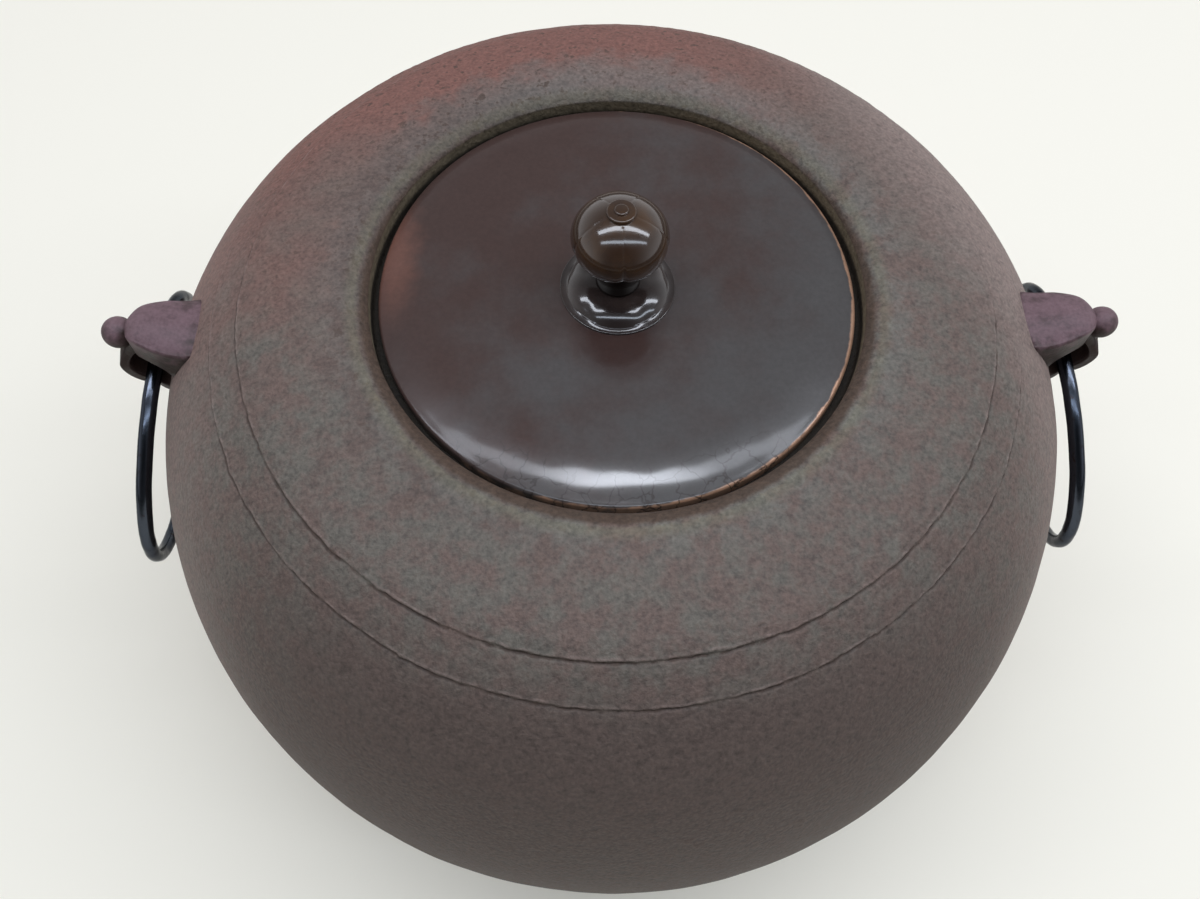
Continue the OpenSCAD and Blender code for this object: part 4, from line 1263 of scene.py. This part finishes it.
class KETTLE_OT_knob(bpy.types.Operator):
    """Builds the bud knob with its blossom seat, its step and its pin."""

    bl_idname = "kettle.knob"
    bl_label = "Knob"

    def execute(self, context):
        lid = lid_heights()
        finish = looks().finish
        # Below the neck's top the knob's lacquer is painted nearly black, as painted shade under the bud
        neck_top = (lid.seat_top + lid.neck_height) * MM
        lacquer = knob_lacquer("brown_lacquered_bronze", finish.knob_brown, finish.knob_amber, neck_top)
        smoked = knob_lacquer("smoked_lacquered_bronze", finish.seat_dark, finish.seat_brown, 0.0)
        dress(loft("blossom_seat", seat_loops()), "knob_seat", "lid", "knob_bronze", smoked)
        dress(loft("bud_knob", knob_loops()), "knob", "lid", "knob_bronze", lacquer)
        step = button_loops(lid.hole, lid.collar / 2, lid.collar_z, lid.collar_z + lid.collar_height, 0.35)
        dress(loft("bud_step", step), "knob_collar", "lid", "knob_bronze", lacquer)
        head_z = lid.under - lid.washer_height
        pin_top = lid.collar_z + lid.collar_height + lid.pin_proud
        corners = np.array([
            [0.2, head_z - lid.pin_head_height], [lid.pin_head / 2, head_z - lid.pin_head_height],
            [lid.pin_head / 2, head_z], [lid.pin / 2, head_z], [lid.pin / 2, pin_top], [0.2, pin_top],
        ])
        pin = turned(rounded(corners, [0.45, 0.1, 0.1, 0.35]), 48)
        dress(loft("bud_pin", pin), "knob_pin", "lid", "knob_bronze", lacquer)
        return {"FINISHED"}


class KETTLE_OT_plates(bpy.types.Operator):
    """Builds the singing plates and their lacquer beds on the kettle's floor."""

    bl_idname = "kettle.plates"
    bl_label = "Singing plates"

    def execute(self, context):
        finish = looks().finish
        iron, putty = scaled_plate(finish), bed_lacquer(finish)
        for number in range(1, PLATE_COUNT + 1):
            plate = loft(f"forged_plate_{number}", plate_loops(number, 100 + 2 * number))
            dress(plate, f"singing_plate_{number}", "kettle", "plate_iron", iron)
            bed = loft(f"putty_bed_{number}", bed_loops(number))
            dress(bed, f"lacquer_bed_{number}", "kettle", "bed_lacquer", putty)
        return {"FINISHED"}


class KETTLE_OT_stage(bpy.types.Operator):
    """Sets the pale floor, the soft light and the camera."""

    bl_idname = "kettle.stage"
    bl_label = "Studio"

    def execute(self, context):
        scene = context.scene
        scene.view_settings.view_transform = "Standard"
        reach = 6.0
        mesh = bpy.data.meshes.new("studio_floor")
        corners = np.array([[-1, -1, 0], [1, -1, 0], [1, 1, 0], [-1, 1, 0]]) * reach
        mesh.from_pydata(corners.tolist(), [], [[0, 1, 2, 3]])
        floor = bpy.data.objects.new("studio_floor", mesh)
        scene.collection.objects.link(floor)
        material, tree, shader, place = start_material("pale_studio_paper")
        fibre = add(tree, "ShaderNodeTexNoise", {"Vector": place, "Scale": per(60), "Detail": 2.0})["Fac"]
        gloss = add(tree, "ShaderNodeMapRange", {"Value": fibre, "To Min": 0.8, "To Max": 0.9})[0]
        away = add(tree, "ShaderNodeVectorMath", {0: place}, operation="LENGTH")["Value"]
        inputs = {"Value": away, "From Min": 0.5, "From Max": 1.0}
        far = add(tree, "ShaderNodeMapRange", inputs, interpolation_type="SMOOTHSTEP")[0]
        finish = looks().finish
        colour = layered(tree, finish.floor, [(far, finish.floor_far)])
        fill(tree, shader, {"Base Color": colour, "Roughness": gloss, "Specular IOR Level": 0.2})
        mesh.materials.append(material)
        self.light(scene)
        self.camera(scene)
        return {"FINISHED"}

    def light(self, scene):
        """Two long lamps, overhead and towards the front, in a room that is pale at its sides and behind, dim
        in front and darker towards its ceiling."""
        finish = looks().finish
        world = bpy.data.worlds.new("pale_room")
        scene.world = world
        world.use_nodes = True
        tree = world.node_tree
        direction = add(tree, "ShaderNodeTexCoord", {})["Generated"]
        along = add(tree, "ShaderNodeSeparateXYZ", {0: direction})
        aside = add(tree, "ShaderNodeMath", {0: along["X"]}, operation="ABSOLUTE")[0]
        away = add(tree, "ShaderNodeMath", {0: aside, 1: 0.6, 2: along["Y"]}, operation="MULTIPLY_ADD")[0]
        inputs = {"Value": away, "From Min": -0.75, "From Max": 0.45, "To Min": 0.14, "To Max": 1.1}
        wall = add(tree, "ShaderNodeMapRange", inputs, interpolation_type="SMOOTHSTEP")[0]
        inputs = {"Value": along["Z"], "From Max": 0.8, "To Min": 1.0, "To Max": 0.2}
        lower = add(tree, "ShaderNodeMapRange", inputs)[0]
        strength = add(tree, "ShaderNodeMath", {0: wall, 1: lower}, operation="MULTIPLY")[0]
        fill(tree, tree.nodes["Background"], {"Color": finish.room, "Strength": strength})
        # Each lamp's place, width and depth in metres, its watts and its colour
        lamps = [
            ("top_lamp", (0.45, 0.2, 1.9), (3.8, 0.27), 32.5, finish.top_light),
            ("front_lamp", (0.45, -0.66, 1.9), (3.8, 0.2), 16.5, finish.front_light),
        ]
        for name, place, shape, power, colour in lamps:
            lamp = bpy.data.lights.new(name, "AREA")
            lamp.shape = "RECTANGLE"
            lamp.size, lamp.size_y = shape
            lamp.energy = power
            lamp.color = colour[:3]
            holder = bpy.data.objects.new(name, lamp)
            holder.location = place
            aim = Vector((place[0], 0, 0.12)) - Vector(place)
            holder.rotation_euler = aim.to_track_quat("-Z", "Y").to_euler()
            scene.collection.objects.link(holder)

    def camera(self, scene):
        """The photograph's view: turned by yaw, tipped by pitch, then rolled about the line of sight."""
        ahead = Vector((math.sin(CAMERA_YAW) * math.cos(CAMERA_PITCH),
                        math.cos(CAMERA_YAW) * math.cos(CAMERA_PITCH), -math.sin(CAMERA_PITCH)))
        level = Vector((math.cos(CAMERA_YAW), -math.sin(CAMERA_YAW), 0))
        above = level.cross(ahead)
        right = math.cos(CAMERA_ROLL) * level + math.sin(CAMERA_ROLL) * above
        up = math.cos(CAMERA_ROLL) * above - math.sin(CAMERA_ROLL) * level
        lens = bpy.data.cameras.new("camera")
        lens.lens = CAMERA_LENS
        lens.sensor_width = CAMERA_SENSOR
        lens.clip_start = 0.01
        camera = bpy.data.objects.new("camera", lens)
        turn = Matrix((right, up, -ahead)).transposed()
        camera.matrix_world = Matrix.Translation(CAMERA_PLACE) @ turn.to_4x4()
        scene.collection.objects.link(camera)
        scene.camera = camera


class KETTLE_PT_sidebar(bpy.types.Panel):
    """Lists the steps that build the kettle."""

    bl_idname = "KETTLE_PT_sidebar"
    bl_label = "Tea kettle"
    bl_space_type = "VIEW_3D"
    bl_region_type = "UI"
    bl_category = "Kettle"

    def draw(self, context):
        for step in STEPS:
            self.layout.operator(step.bl_idname)


GROUPS = (BodySizes, LugSizes, RingSizes, LidSizes, PlateSizes, Finishes, KettleLooks)
STEPS = (
    KETTLE_OT_body, KETTLE_OT_lugs, KETTLE_OT_rings, KETTLE_OT_lid,
    KETTLE_OT_knob, KETTLE_OT_plates, KETTLE_OT_stage,
)
CLASSES = (*GROUPS, *STEPS, KETTLE_PT_sidebar)


def register():
    for made in CLASSES:
        bpy.utils.register_class(made)
    bpy.types.Scene.kettle_looks = bpy.props.PointerProperty(
        name="Kettle looks", description="Sizes and colours of the kettle", type=KettleLooks
    )


def unregister():
    del bpy.types.Scene.kettle_looks
    for made in reversed(CLASSES):
        bpy.utils.unregister_class(made)


def main():
    """Registers the add-on and builds every piece and the studio."""
    register()
    bpy.ops.kettle.body()
    bpy.ops.kettle.lugs()
    bpy.ops.kettle.rings()
    bpy.ops.kettle.lid()
    bpy.ops.kettle.knob()
    bpy.ops.kettle.plates()
    bpy.ops.kettle.stage()


if __name__ == "__main__":
    main()
